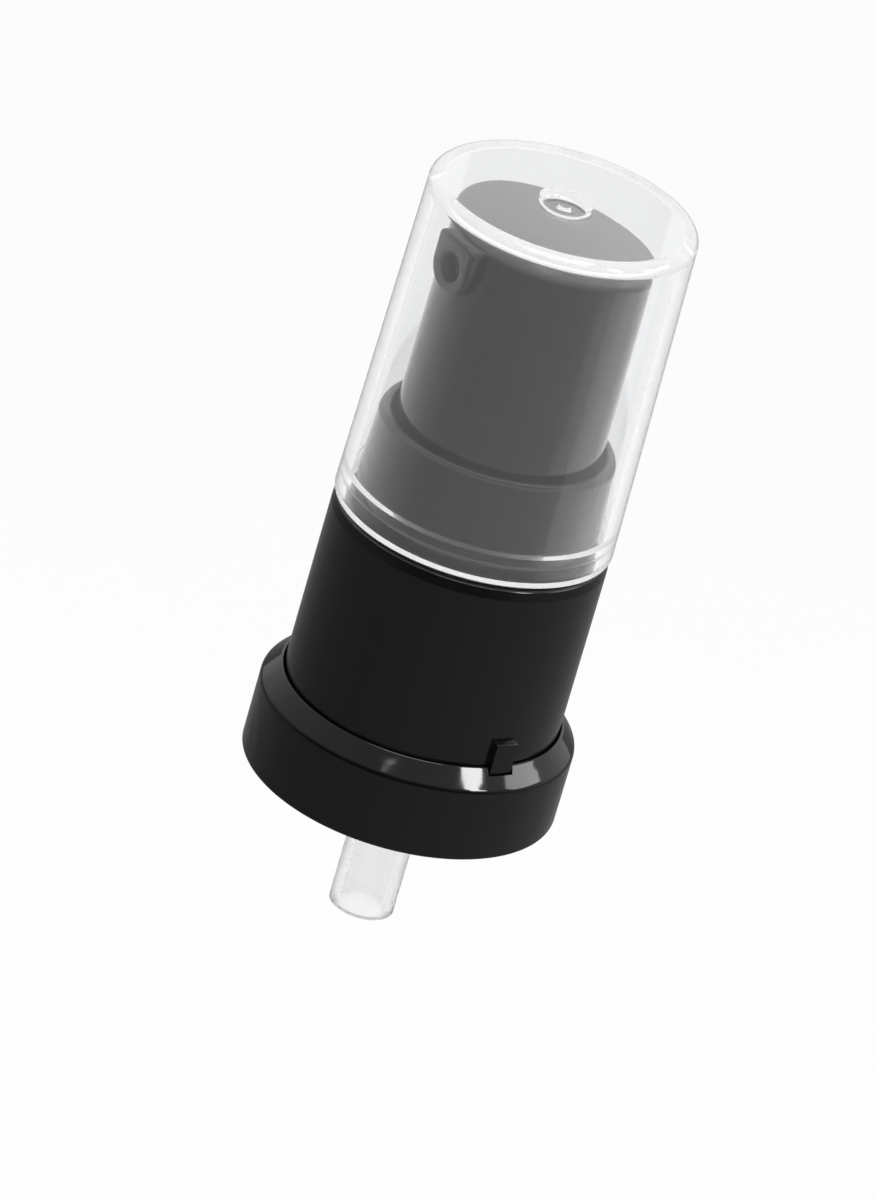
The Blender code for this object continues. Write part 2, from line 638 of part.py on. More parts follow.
def build_collar_sleeve():
    """Outer shell of the closure: a drafted tube, a bevelled top with a lip, and two lugs."""
    corners = [
        (SLEEVE_FOOT_RADIUS - SLEEVE_WALL, SLEEVE_FOOT, 0),
        (SLEEVE_FOOT_RADIUS, SLEEVE_FOOT, SLEEVE_ROUND),
        (SLEEVE_TOP_RADIUS, SLEEVE_TOP - SLEEVE_BEVEL_HEIGHT, 0),
        (SLEEVE_TOP_RADIUS - SLEEVE_BEVEL, SLEEVE_TOP, SLEEVE_ROUND),
        (SLEEVE_LIP_RADIUS, SLEEVE_TOP, 0),
        (SLEEVE_LIP_RADIUS, SLEEVE_TOP - SLEEVE_LIP, 0),
        (SLEEVE_TOP_RADIUS - SLEEVE_WALL, SLEEVE_TOP - SLEEVE_LIP, 0),
    ]
    surface = finish("black_sleeve", (0.010, 0.010, 0.011), 0.1)
    sleeve = turned("collar_sleeve", rounded(corners), OUTER_SEGMENTS, surface)
    for index, side in enumerate((-1, 1)):
        inner = side * (SLEEVE_FOOT_RADIUS - SLEEVE_WALL / 2)
        outer = side * (SLEEVE_FOOT_RADIUS + LUG_PROUD)
        lug = block(f"lug_{index}", (min(inner, outer), -LUG_WIDTH / 2, BASE_RING_TOP - LUG_SINK),
                    (max(inner, outer), LUG_WIDTH / 2, BASE_RING_TOP + LUG_RISE))
        soften(lug, LUG_ROUND)
        combine(sleeve, lug, "UNION")
    return sleeve


def build_guide_ring():
    """Ring with a trapped flange, a neck through the sleeve and a flared snap skirt."""
    corners = [
        (GUIDE_BORE_RADIUS, GUIDE_FOOT, 0),
        (GUIDE_FLANGE_RADIUS, GUIDE_FOOT, 0),
        (GUIDE_FLANGE_RADIUS, GUIDE_FOOT + GUIDE_FLANGE_THICKNESS, 0),
        (GUIDE_NECK_RADIUS, GUIDE_FOOT + GUIDE_FLANGE_THICKNESS, 0),
        (GUIDE_NECK_RADIUS, GUIDE_SKIRT_FOOT - GUIDE_UNDERCUT_SLOPE, 0),
        (GUIDE_SKIRT_RADIUS, GUIDE_SKIRT_FOOT, GUIDE_ROUND),
        (GUIDE_TOP_RADIUS, GUIDE_TOP, GUIDE_ROUND),
        (GUIDE_BORE_RADIUS, GUIDE_TOP, GUIDE_ROUND),
    ]
    surface = finish("black_guide", (0.011, 0.011, 0.012), 0.15)
    return turned("guide_ring", rounded(corners), OUTER_SEGMENTS, surface)


def crown(x, y):
    """Height of the head's top: a wide arc across Y whose peak lies behind the nozzle."""
    along = -y - CROWN_FORWARD
    return CROWN_PEAK - CROWN_RADIUS + math.sqrt(CROWN_RADIUS ** 2 - along ** 2)


def crowned_ring(radius, drop, segments):
    """Ring of points at a radius, a given drop below the crown."""
    flat = ring(radius, 0, segments)
    return [Vector((point.x, point.y, crown(point.x, point.y) - drop)) for point in flat]


def build_actuator():
    """Head: a tall shell with a crowned deck, the stem's socket and the nozzle boss."""
    segments = OUTER_SEGMENTS
    edge = ACTUATOR_TOP_RADIUS - ACTUATOR_ROUND
    inner_top = ACTUATOR_TOP_RADIUS - ACTUATOR_WALL
    inner_foot = ACTUATOR_FOOT_RADIUS - ACTUATOR_WALL
    socket_bore = STEM_RADIUS + RUN_GAP
    socket = socket_bore + SOCKET_WALL
    stem_stop = STEM_TOP + SEAT_GAP
    channel_top = NOZZLE_HEIGHT + CHANNEL_RADIUS + RUN_GAP
    rings = [crowned_ring(edge * share, 0, segments) for share in CROWN_RING_SHARES]
    for step in range(ARC_STEPS + 1):
        angle = math.pi / 2 * step / ARC_STEPS
        fillet = ring(edge + ACTUATOR_ROUND * math.sin(angle), 0, segments)
        drop = ACTUATOR_ROUND * (1 - math.cos(angle))
        heights = [point.z - drop for point in crowned_ring(edge, 0, segments)]
        rings.append([Vector((point.x, point.y, height)) for point, height in zip(fillet, heights)])
    rings += [
        ring(ACTUATOR_FOOT_RADIUS, ACTUATOR_FOOT, segments),
        ring(inner_foot, ACTUATOR_FOOT, segments),
        crowned_ring(inner_top, ACTUATOR_DECK, segments),
        crowned_ring(socket, ACTUATOR_DECK, segments),
        ring(socket, SOCKET_FOOT, segments),
        ring(socket_bore, SOCKET_FOOT, segments),
        ring(socket_bore, stem_stop, segments),
        ring(STEM_BORE_RADIUS, stem_stop, segments),
        ring(STEM_BORE_RADIUS, channel_top, segments),
        ring(0, channel_top, segments),
    ]
    mesh = skin([[Vector((0, 0, crown(0, 0)))]] + rings, closed=False)
    head = add_object("actuator", mesh, finish("black_head", (0.012, 0.012, 0.013), 0.12))
    combine(head, build_nozzle_boss(), "UNION")
    channel = rod("channel_tube", CHANNEL_RADIUS + CHANNEL_WALL, STEM_BORE_RADIUS + SOCKET_WALL,
                  inner_top + ACTUATOR_WALL / 2, TINY_SEGMENTS)
    turn_to_nozzle(channel, NOZZLE_HEIGHT)
    combine(head, channel, "UNION")
    step = NOZZLE_FACE - NOZZLE_BORE_DEPTH
    mouth = NOZZLE_FACE + OVERRUN
    outline = [(0, 0), (CHANNEL_RADIUS, 0), (CHANNEL_RADIUS, step), (NOZZLE_BORE_RADIUS, step),
               (NOZZLE_BORE_RADIUS, mouth), (0, mouth)]
    bore = turned("nozzle_bore", outline, SMALL_SEGMENTS)
    turn_to_nozzle(bore, NOZZLE_HEIGHT)
    combine(head, bore, "DIFFERENCE")
    return head


def build_nozzle_boss():
    """U-shaped boss on the front of the head: flat top, half-round underside."""
    top = crown(0, -ACTUATOR_TOP_RADIUS) - NOZZLE_STEP
    back = -(ACTUATOR_TOP_RADIUS - ACTUATOR_WALL / 2)
    outline = [Vector((NOZZLE_HALF_WIDTH, back, top)), Vector((-NOZZLE_HALF_WIDTH, back, top))]
    for step in range(U_STEPS + 1):
        angle = math.pi * (1 + step / U_STEPS)
        outline.append(Vector((NOZZLE_HALF_WIDTH * math.cos(angle), back,
                               NOZZLE_HEIGHT + NOZZLE_HALF_WIDTH * math.sin(angle))))
    boss = extruded("nozzle_boss", outline, Vector((0, -NOZZLE_FACE - back, 0)))
    soften(boss, NOZZLE_ROUND)
    return boss


def build_nozzle_insert():
    """Bushing in the nozzle's bore, with a dished front round the orifice."""
    radius = NOZZLE_BORE_RADIUS - RUN_GAP
    front = NOZZLE_FACE - INSERT_RECESS
    corners = [
        (ORIFICE_RADIUS, front - INSERT_LENGTH, 0),
        (radius, front - INSERT_LENGTH, 0),
        (radius, front, 0),
        (INSERT_DISH_RADIUS, front, 0),
        (ORIFICE_RADIUS, front - INSERT_DISH_DEPTH, 0),
    ]
    surface = finish("black_insert", (0.015, 0.015, 0.016), 0.3)
    insert = turned("nozzle_insert", rounded(corners), SMALL_SEGMENTS, surface)
    turn_to_nozzle(insert, NOZZLE_HEIGHT)
    return insert


def build_overcap():
    """Clear cap: flat top with a gate well and a wide round, bevelled foot, snap bead inside."""
    inner_top = OVERCAP_TOP_RADIUS - OVERCAP_WALL
    bead_foot = SNAP_BEAD_TOP - SNAP_BEAD_HEIGHT
    slope = SNAP_BEAD_REACH
    under = OVERCAP_TOP - OVERCAP_PANEL
    gate_floor = OVERCAP_TOP - GATE_DEPTH
    gate_under = gate_floor - GATE_FLOOR
    gate_boss = GATE_FLOOR_RADIUS + GATE_BOSS_SPREAD
    corners = [
        (0, gate_floor + GATE_NUB_HEIGHT, 0),
        (GATE_NUB_RADIUS, gate_floor + GATE_NUB_HEIGHT, 0),
        (GATE_NUB_RADIUS, gate_floor, 0),
        (GATE_FLOOR_RADIUS, gate_floor, GATE_FLOOR_ROUND),
        (GATE_TOP_RADIUS, OVERCAP_TOP, 0),
        (OVERCAP_TOP_RADIUS, OVERCAP_TOP, OVERCAP_RIM_ROUND),
        (OVERCAP_FOOT_RADIUS, OVERCAP_FOOT, OVERCAP_FOOT_ROUND),
        (OVERCAP_INNER_RADIUS, OVERCAP_FOOT + OVERCAP_FOOT_BEVEL, 0),
        (OVERCAP_INNER_RADIUS, bead_foot - slope, 0),
        (SNAP_BEAD_RADIUS, bead_foot, 0),
        (SNAP_BEAD_RADIUS, SNAP_BEAD_TOP, 0),
        (OVERCAP_INNER_RADIUS, SNAP_BEAD_TOP + slope, 0),
        (inner_top, under, OVERCAP_INNER_ROUND),
        (gate_boss, under, 0),
        (GATE_FLOOR_RADIUS, gate_under, 0),
        (0, gate_under, 0),
    ]
    surface = finish("clear_overcap", (0.92, 0.93, 0.94), 0.03, transmission=0.9)
    return turned("overcap", rounded(corners, OVERCAP_ARC_STEPS), OUTER_SEGMENTS, surface)


def group(name, parent, pieces):
    """Hang pieces on an empty that stands on the joint's axis."""
    pivot = bpy.data.objects.new(name, None)
    bpy.context.scene.collection.objects.link(pivot)
    pivot.parent = parent
    for piece in pieces:
        piece.parent = pivot
    return pivot


def build():
    """Model every piece and hang the moving ones on their joints' axes."""
    clear_scene()
    pump = group("pump", None, [build_gasket(), build_housing(), build_dip_tube(), build_chaplet(),
                                build_return_spring()])
    group("ball_lift", pump, [build_inlet_ball()])
    press = group("press", pump, [build_piston_rod()])
    group("piston_float", press, [build_piston()])
    group("head_turn", press, [build_stem(), build_actuator(), build_nozzle_insert()])
    closure = group("closure_turn", pump, [build_threaded_closure(), build_collar_sleeve(),
                                           build_base_ring(), build_guide_ring()])
    group("overcap_lift", closure, [build_overcap()])


build()
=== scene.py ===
# %% [markdown]
# # A treatment pump with a clear overcap
#
# The object is the closure of a cosmetic bottle: a tall gloss black press head under a clear cap,
# a black collar on a wider base ring, and a short dip tube below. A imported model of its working
# pieces is loaded first. This lesson then gives every piece a fine surface and a finish.

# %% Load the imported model
import json
import math

import bmesh
import bpy
import numpy as np
from mathutils import Matrix, Vector


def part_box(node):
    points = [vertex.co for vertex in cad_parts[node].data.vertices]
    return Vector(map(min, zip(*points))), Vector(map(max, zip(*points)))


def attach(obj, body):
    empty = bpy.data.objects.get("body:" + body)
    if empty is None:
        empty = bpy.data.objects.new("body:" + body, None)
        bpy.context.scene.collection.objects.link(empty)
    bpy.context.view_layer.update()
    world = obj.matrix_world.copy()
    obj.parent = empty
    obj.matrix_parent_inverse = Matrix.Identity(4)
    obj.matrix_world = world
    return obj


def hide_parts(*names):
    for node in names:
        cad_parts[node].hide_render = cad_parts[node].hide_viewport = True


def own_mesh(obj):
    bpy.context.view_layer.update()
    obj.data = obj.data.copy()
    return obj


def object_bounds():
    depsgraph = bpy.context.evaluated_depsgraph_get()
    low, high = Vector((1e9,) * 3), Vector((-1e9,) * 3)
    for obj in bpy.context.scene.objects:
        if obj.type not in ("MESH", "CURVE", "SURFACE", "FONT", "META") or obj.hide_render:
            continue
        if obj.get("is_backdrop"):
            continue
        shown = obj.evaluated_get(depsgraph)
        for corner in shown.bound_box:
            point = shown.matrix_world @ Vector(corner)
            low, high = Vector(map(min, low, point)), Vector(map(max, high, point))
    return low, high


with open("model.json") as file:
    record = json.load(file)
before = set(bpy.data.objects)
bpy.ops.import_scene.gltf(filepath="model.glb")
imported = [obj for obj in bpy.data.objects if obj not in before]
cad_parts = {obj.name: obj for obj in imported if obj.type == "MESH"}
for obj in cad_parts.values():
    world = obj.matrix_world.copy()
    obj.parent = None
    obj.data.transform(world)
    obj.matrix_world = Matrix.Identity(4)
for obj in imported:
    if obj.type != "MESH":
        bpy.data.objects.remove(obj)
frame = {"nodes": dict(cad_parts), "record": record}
cad_low, cad_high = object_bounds()
print("packed pieces:", len(frame["nodes"]))

# %% [markdown]
# ## Camera
#
# The camera comes first, because it decides how fine each curve has to be. The photograph was
# taken with a long lens from about 0.7 m, 25 degrees above the horizon, with the nozzle turned
# to the left. The object leans in the picture, so here the camera rolls and the pump
# stays upright. Aiming a little off the pump places it in the frame, with no lens shift.

# %% Camera
PHOTO_WIDTH = 876
PHOTO_HEIGHT = 1200
CAMERA_AZIMUTH = math.radians(50)
CAMERA_ELEVATION = math.radians(25.4)
CAMERA_ROLL = math.radians(16.3)
CAMERA_DISTANCE = 0.70
FOCAL_PIXELS = 8290
SIGHT_PIXEL = (480.6, 494.4)
SIGHT = Vector((0, 0, 0.0138))
SENSOR = 36
QUARTER = math.pi / 2


def way_to(azimuth, elevation):
    """Unit vector out from the pump: azimuth 0 is in front of the nozzle and 90 degrees at +X."""
    flat = math.cos(elevation)
    return Vector((math.sin(azimuth) * flat, -math.cos(azimuth) * flat, math.sin(elevation)))


def make_camera():
    """Camera on a sphere round the sight point. It first looks straight at that point and rolls;
    then it turns by the small angles that carry the point from the frame's centre to its pixel."""
    back = way_to(CAMERA_AZIMUTH, CAMERA_ELEVATION)
    across = way_to(CAMERA_AZIMUTH + QUARTER, 0)
    upward = back.cross(across)
    columns = Matrix((across, upward, back)).transposed()
    turn = columns @ Matrix.Rotation(CAMERA_ROLL, 3, "Z")
    right = math.atan((SIGHT_PIXEL[0] - PHOTO_WIDTH / 2) / FOCAL_PIXELS)
    down = math.atan((SIGHT_PIXEL[1] - PHOTO_HEIGHT / 2) / FOCAL_PIXELS)
    turn = turn @ Matrix.Rotation(right, 3, "Y") @ Matrix.Rotation(down, 3, "X")
    lens = bpy.data.cameras.new("camera")
    lens.sensor_width = SENSOR
    lens.lens = SENSOR * FOCAL_PIXELS / PHOTO_HEIGHT
    camera = bpy.data.objects.new("camera", lens)
    camera.matrix_world = turn.to_4x4()
    camera.location = SIGHT + back * CAMERA_DISTANCE
    bpy.context.scene.collection.objects.link(camera)
    bpy.context.scene.camera = camera
    return camera


print("lens in mm:", round(make_camera().data.lens, 1))

# %% [markdown]
# ## A surface from a grid of points
#
# Nearly all pieces are turned or moulded round one axis, so each is one sheet of quads: rows run
# along a profile and columns run round the axis, more of them the wider the piece. Blender could
# spin a curve, but a numpy grid keeps the formula in sight, and lets a lug or a notch be a change
# of profile at some columns.

# %% Grid to mesh
WELD = 1e-7
SHARP = math.radians(32)
WIDE_COLUMNS, INNER_COLUMNS, SMALL_COLUMNS, BORE_COLUMNS = 224, 128, 96, 64


def finish_mesh(name, mesh):
    """Weld seams and poles, turn all faces outwards, shade smoothly between sharp edges."""
    work = bmesh.new()
    work.from_mesh(mesh)
    bmesh.ops.remove_doubles(work, verts=work.verts, dist=WELD)
    bmesh.ops.recalc_face_normals(work, faces=work.faces)
    work.to_mesh(mesh)
    work.free()
    mesh.shade_smooth()
    mesh.set_sharp_from_angle(angle=SHARP)
    piece = bpy.data.objects.new(name, mesh)
    bpy.context.scene.collection.objects.link(piece)
    return piece


def sheet_of_quads(name, grid, wrap_rows=True, wrap_columns=True, mapped=False):
    """Mesh of the grid's points: corner (i, j) joins (i, j+1), (i+1, j+1) and (i+1, j), and the
    last row or column joins the first where the sheet wraps. A mapped sheet gets a UV map whose
    U is the share of the columns and whose V is the share of the rows."""
    rows, columns = grid.shape[:2]
    index = np.arange(rows * columns).reshape(rows, columns)
    index = np.vstack([index, index[:1]]) if wrap_rows else index
    index = np.hstack([index, index[:, :1]]) if wrap_columns else index
    quads = np.stack([index[:-1, :-1], index[:-1, 1:], index[1:, 1:], index[1:, :-1]], axis=-1)
    quads = quads.reshape(-1, 4)
    mesh = bpy.data.meshes.new(name)
    mesh.vertices.add(rows * columns)
    mesh.vertices.foreach_set("co", grid.reshape(-1).astype(np.float32))
    mesh.loops.add(quads.size)
    mesh.loops.foreach_set("vertex_index", quads.ravel().astype(np.int32))
    mesh.polygons.add(len(quads))
    mesh.polygons.foreach_set("loop_start", np.arange(0, quads.size, 4, dtype=np.int32))
    mesh.update(calc_edges=True)
    if mapped:
        high, wide = index.shape[0] - 1, index.shape[1] - 1
        row, column = np.divmod(np.arange(high * wide), wide)
        place = np.stack([column[:, None] + (0, 1, 1, 0), row[:, None] + (0, 0, 1, 1)], axis=-1)
        layer = mesh.uv_layers.new(name="along")
        layer.data.foreach_set("uv", (place / (wide, high)).ravel().astype(np.float32))
    return finish_mesh(name, mesh)


# %% [markdown]
# ## Profiles with rounded corners
#
# Moulded plastic has no sharp edges, and the thin highlights that draw its edges come from their
# rounding. A profile is therefore a short list of corners, each with its fillet. Two extra points
# hold the surface straight just beside each fillet, so that gloss stays even on the flats. The
# common fillets have names, from the finest edge to a full round.

# %% Rounded profile
ARC_STEPS = 7
HOLD = 0.00003
FINE, EDGE, MOULD, SOFT, FULL = 0.00005, 0.0001, 0.00015, 0.0002, 0.0003


def unit(vectors):
    """Each vector divided by its own length."""
    return vectors / np.linalg.norm(vectors, axis=-1, keepdims=True)


def profile(corners, steps=ARC_STEPS):
    """Outline through corners (radius, height, fillet). A fillet's arc has its centre on the
    corner's bisector, fillet / sin(half angle) away, and meets both sides at right angles."""
    table = np.array(corners, dtype=float)
    points, fillets = table[:, :2], table[:, 2]
    back = unit(np.roll(points, 1, axis=0) - points)
    ahead = unit(np.roll(points, -1, axis=0) - points)
    half = np.arccos(np.clip(np.sum(back * ahead, axis=1), -1, 1)) / 2
    parts = []
    for point, fillet, one, two, angle in zip(points, fillets, back, ahead, half):
        if not fillet:
            parts.append(point[None])
            continue
        centre = point + unit(one + two) * fillet / np.sin(angle)
        reach = fillet / np.tan(angle)
        first, last = point + one * reach - centre, point + two * reach - centre
        turn = np.arctan2(first[0] * last[1] - first[1] * last[0], first @ last)
        swing = turn * np.linspace(0, 1, steps + 1)[:, None]
        across = np.array([-first[1], first[0]])
        parts.append((point + one * (reach + HOLD))[None])
        parts.append(centre + first * np.cos(swing) + across * np.sin(swing))
        parts.append((point + two * (reach + HOLD))[None])
    return np.concatenate(parts)


def circle(columns):
    """Angles of columns spread evenly round the axis."""
    return np.linspace(0, math.tau, columns, endpoint=False)


def round_axis(radius, angle, height):
    """Points (r cos a, r sin a, z)."""
    return np.stack([radius * np.cos(angle), radius * np.sin(angle), height + 0 * angle], axis=-1)


def turned(name, outline, columns=WIDE_COLUMNS, mapped=False):
    """Outline turned round Z: each point (r, z) becomes a circle."""
    grid = round_axis(outline[:, :1], circle(columns), outline[:, 1:])
    return sheet_of_quads(name, grid, wrap_rows=outline[0, 0] > 0, mapped=mapped)


# %% [markdown]
# ## Lugs, notches and ribs
#
# Some turned pieces change their profile over a few degrees: a lug stands out, a notch is cut in.
# Both profiles get the same number of points, and each column takes a mix of the two. Columns
# crowd together where the mix changes, which makes walls that are nearly upright.

# %% Two profiles round one axis
EDGE_COLUMNS = 6


def smooth(share):
    """Smooth step of a share from 0 to 1: s s (3 - 2 s)."""
    return share * share * (3 - 2 * share)


def windows(centres, radius, half_width, edge, columns=WIDE_COLUMNS):
    """Angles round the axis and a share for each: 1 inside a window, 0 outside, and a smooth
    step across the edge. Widths are lengths at the radius. Columns near a window give way to
    its own closer ones."""
    def nearest(angle):
        """How far round the nearest window's middle is."""
        return np.min([np.abs((angle - centre + math.pi) % math.tau - math.pi)
                       for centre in centres], axis=0)

    half_width, edge = half_width / radius, edge / radius
    rim = np.linspace(-edge / 2, edge / 2, EDGE_COLUMNS)
    inner = np.linspace(edge / 2 - half_width, half_width - edge / 2, EDGE_COLUMNS)
    local = np.concatenate([rim - half_width, inner[1:-1], rim + half_width])
    angle = circle(columns)
    angle = angle[nearest(angle) > half_width + edge]
    angle = np.concatenate([angle] + [centre + local for centre in centres]) % math.tau
    angle.sort()
    return angle, smooth(np.clip((half_width + edge / 2 - nearest(angle)) / edge, 0, 1))


def turned_with(name, before, plain, changed, after, window):
    """Outline turned round Z. Its middle part is plain where the window's share is 0, and
    changed where it is 1; the parts before and after stay the same all round."""
    angle, share = window
    plain = np.concatenate([before, plain, after])[:, None]
    changed = np.concatenate([before, changed, after])[:, None]
    rows = plain * (1 - share[:, None]) + changed * share[:, None]
    grid = round_axis(rows[..., 0], angle, rows[..., 1])
    return sheet_of_quads(name, grid, wrap_rows=before[0, 0] > 0)


# %% [markdown]
# ## Cuts
#
# A hole across a turned piece doesn't follow its grid. An exact Boolean cuts it, and the result
# is made a plain mesh at once, so that nothing live is left on the piece.

# %% Boolean helper
def combine(body, tool, operation):
    """Join or cut a body with a tool by an exact Boolean, apply it and delete the tool."""
    step = body.modifiers.new("cut", "BOOLEAN")
    step.object = tool
    step.operation = operation
    step.solver = "EXACT"
    bpy.context.view_layer.update()
    evaluated = body.evaluated_get(bpy.context.evaluated_depsgraph_get())
    mesh = bpy.data.meshes.new_from_object(evaluated)
    name = body.name
    bpy.data.objects.remove(tool, do_unlink=True)
    bpy.data.objects.remove(body, do_unlink=True)
    return finish_mesh(name, mesh)


def laid_forward(piece, height):
    """Turn a piece made round Z so that its top points along -Y, at a height, in its mesh."""
    piece.data.transform(Matrix.Translation((0, 0, height)) @ Matrix.Rotation(QUARTER, 4, "X"))
    return piece


# %% [markdown]
# ## Finishes
#
# Each finish is a small tree of nodes on Object coordinates. One helper adds a node, types in
# plain values and links sockets, which keeps the trees short enough to read. Another lets one
# pattern change the colour, the gloss and the height at once, as wear and moulding do.

# %% Node helpers
NOISE_MIDDLE = (0.3, 0.7)
MIX_SHARE, MIX_DARK, MIX_LIGHT, MIX_COLOUR = 0, 6, 7, 2


def add_node(tree, kind, inputs=None, **settings):
    """Add a shader node of a kind; a socket that is given for an input is linked to it, and any
    other value is typed in."""
    node = tree.nodes.new("ShaderNode" + kind)
    for name, value in settings.items():
        setattr(node, name, value)
    for name, value in (inputs or {}).items():
        if isinstance(value, bpy.types.NodeSocket):
            tree.links.new(value, node.inputs[name])
        else:
            node.inputs[name].default_value = value
    return node


def start_finish(name, **values):
    """New material with one Principled shader; its plain values are set on its own sockets."""
    surface = bpy.data.materials.new(name)
    surface.use_nodes = True
    print("finish:", name)
    shader = surface.node_tree.nodes["Principled BSDF"]
    for socket, value in values.items():
        shader.inputs[socket.replace("_", " ")].default_value = value
    return surface, surface.node_tree, shader


def noise(tree, scale, detail=2.0, stretch=(1, 1, 1), place="Object"):
    """Noise in features per metre on Object coordinates, or over UV, stretched along the axes."""
    place = add_node(tree, "TexCoord").outputs[place]
    mapped = add_node(tree, "Mapping", {"Vector": place, "Scale": stretch})
    return add_node(tree, "TexNoise", {"Vector": mapped.outputs["Vector"], "Scale": scale,
                                       "Detail": detail}).outputs["Fac"]


def ramp(tree, value, start, end, low, high):
    """Map a value's range from start to end to one from low to high, without going past."""
    return add_node(tree, "MapRange", {"Value": value, "From Min": start, "From Max": end,
                                       "To Min": low, "To Max": high}).outputs["Result"]


def wear(tree, shader, pattern, colours=None, gloss=None, depth=None):
    """Let one pattern change what is given of three: the colour, from dark to light; the
    roughness, whose range is covered by the middle of a noise; and the height, whose depth in
    metres belongs to a step of 1."""
    if colours:
        dark, light = colours
        mix = add_node(tree, "Mix", {MIX_SHARE: pattern, MIX_DARK: (*dark, 1),
                                     MIX_LIGHT: (*light, 1)}, data_type="RGBA")
        tree.links.new(mix.outputs[MIX_COLOUR], shader.inputs["Base Color"])
    if gloss:
        rough = ramp(tree, pattern, *NOISE_MIDDLE, *gloss)
        tree.links.new(rough, shader.inputs["Roughness"])
    if depth:
        bump = add_node(tree, "Bump", {"Height": pattern, "Distance": depth})
        tree.links.new(bump.outputs["Normal"], shader.inputs["Normal"])


def mixed(tree, share, first, second):
    """Output of a Mix Shader between two outputs."""
    return add_node(tree, "MixShader", {0: share, 1: first, 2: second}).outputs["Shader"]


def white_glow(tree, strength):
    """Output of a white Emission shader."""
    return add_node(tree, "Emission", {"Color": (1, 1, 1, 1), "Strength": strength}).outputs[0]


def shown_as(tree, shader):
    """Link a shader's output to the material's surface."""
    tree.links.new(shader, tree.nodes["Material Output"].inputs["Surface"])


def math_node(tree, operation, *values):
    """One Math node with its inputs in order."""
    return add_node(tree, "Math", dict(enumerate(values)), operation=operation).outputs[0]


# %% [markdown]
# ## Gloss black plastic
#
# The collar, rings and head are polished black mouldings. Their colour hardly matters; what shows
# is how they mirror the studio, with the gloss of common plastic. A faint waviness bends the
# reflections, more on the base ring than elsewhere, and handling leaves the gloss a little uneven.

# %% Gloss black
GLOSS_SPECULAR = 0.5
PEEL_SHARE = 0.006


def gloss_black(name, roughness, wave_depth=0.000002, wave_scale=260.0):
    """Deep black with uneven gloss, slow waves from the mould and a fine orange peel."""
    surface, tree, shader = start_finish(name, Specular_IOR_Level=GLOSS_SPECULAR)
    wear(tree, shader, noise(tree, scale=170.0, detail=3.0, stretch=(1, 1, 0.45)),
         colours=((0.0030, 0.0030, 0.0032), (0.0045, 0.0045, 0.0047)),
         gloss=(roughness * 0.75, roughness * 1.35))
    waves = noise(tree, wave_scale, detail=1.0)
    peel = noise(tree, scale=2600.0, detail=1.0)
    wear(tree, shader, math_node(tree, "MULTIPLY_ADD", peel, PEEL_SHARE, waves), depth=wave_depth)
    return surface


def satin_black(name):
    """Black with the fine even grain of a spark-eroded mould."""
    surface, tree, shader = start_finish(name, Specular_IOR_Level=GLOSS_SPECULAR)
    wear(tree, shader, noise(tree, scale=9000.0), gloss=(0.34, 0.48), depth=0.000012,
         colours=((0.011, 0.011, 0.012), (0.018, 0.018, 0.019)))
    return surface


sleeve_black = gloss_black("sleeve black", 0.11)
ring_black = gloss_black("ring black", 0.07, 0.00009, 300.0)
guide_black = gloss_black("guide black", 0.05)
head_black = gloss_black("head black", 0.05)
nut_black = satin_black("nut black")
insert_black = satin_black("insert black")

# %% [markdown]
# ## Clear plastic
#
# The overcap is polished clear plastic. It is a real solid here, with an inner and an outer wall,
# so light bends twice in it and the rim, the foot and the gate well draw themselves, partly by a
# painted glow. Light that is caught in the wall bounces on until it comes out pale somewhere. The
# renderer gives up on such a ray and leaves it black, so here a ray that has been mirrored twice
# ends on a painted white glow instead, an emission in the plastic that is painted light. Lamps
# have to reach what is inside, so shadow rays pass through a tinted Transparent shader.

# %% Clear
CLEAR_INDEX = 1.49
PAINTED_GLOW_DEPTH = 1.5
PAINTED_GLOW_LEVEL = 0.93
SHADE_COLOUR = (0.93, 0.93, 0.93, 1)


def clear_plastic(name, roughness, colour, haze):
    """Refracting plastic with faint flow waves; haze is the share that scatters light. A ray
    mirrored twice or more ends on a painted white glow.
    """
    surface, tree, shader = start_finish(name, IOR=CLEAR_INDEX, Transmission_Weight=1 - haze,
                                         Base_Color=(*colour, 1))
    wear(tree, shader, noise(tree, scale=120.0, stretch=(1, 1, 0.35)),
         gloss=(roughness * 0.5, roughness * 1.5), depth=0.0000015)
    ray = add_node(tree, "LightPath").outputs
    through = add_node(tree, "BsdfTransparent", {"Color": SHADE_COLOUR})
    # Rays mirrored twice or more end on a painted white glow: painted light in place of the lost
    # bounces.
    painted_glow_share = math_node(tree, "GREATER_THAN", ray["Glossy Depth"], PAINTED_GLOW_DEPTH)
    solid = mixed(tree, painted_glow_share, shader.outputs["BSDF"], white_glow(tree, PAINTED_GLOW_LEVEL))
    shown_as(tree, mixed(tree, ray["Is Shadow Ray"], solid, through.outputs["BSDF"]))
    return surface


cap_clear = clear_plastic("cap clear", 0.0105, (0.927, 0.932, 0.938), haze=0.020)

# %% [markdown]
# ## Natural plastics, foam and steel
#
# The pump's inner pieces are undyed polypropylene and polyethylene, milky and slightly waxy. Light
# soaks into them, which Subsurface does, and faint flow marks run along the mould. The gasket is
# foamed sheet with pores. The spring's wire has fine lines along it from drawing.

# %% Natural, foam and steel
def natural_plastic(name, colour, roughness, soak):
    """Milky undyed plastic: light soaks in, and flow marks change its colour and gloss."""
    surface, tree, shader = start_finish(name, Subsurface_Weight=soak, Subsurface_Scale=0.0012,
                                         IOR=1.5)
    shader.inputs["Subsurface Radius"].default_value = (1.0, 0.95, 0.9)
    dark = tuple(share * 0.94 for share in colour)
    wear(tree, shader, noise(tree, scale=420.0, detail=3.0, stretch=(1, 1, 0.2)), depth=0.00001,
         colours=(dark, colour), gloss=(roughness * 0.8, roughness * 1.2))
    return surface


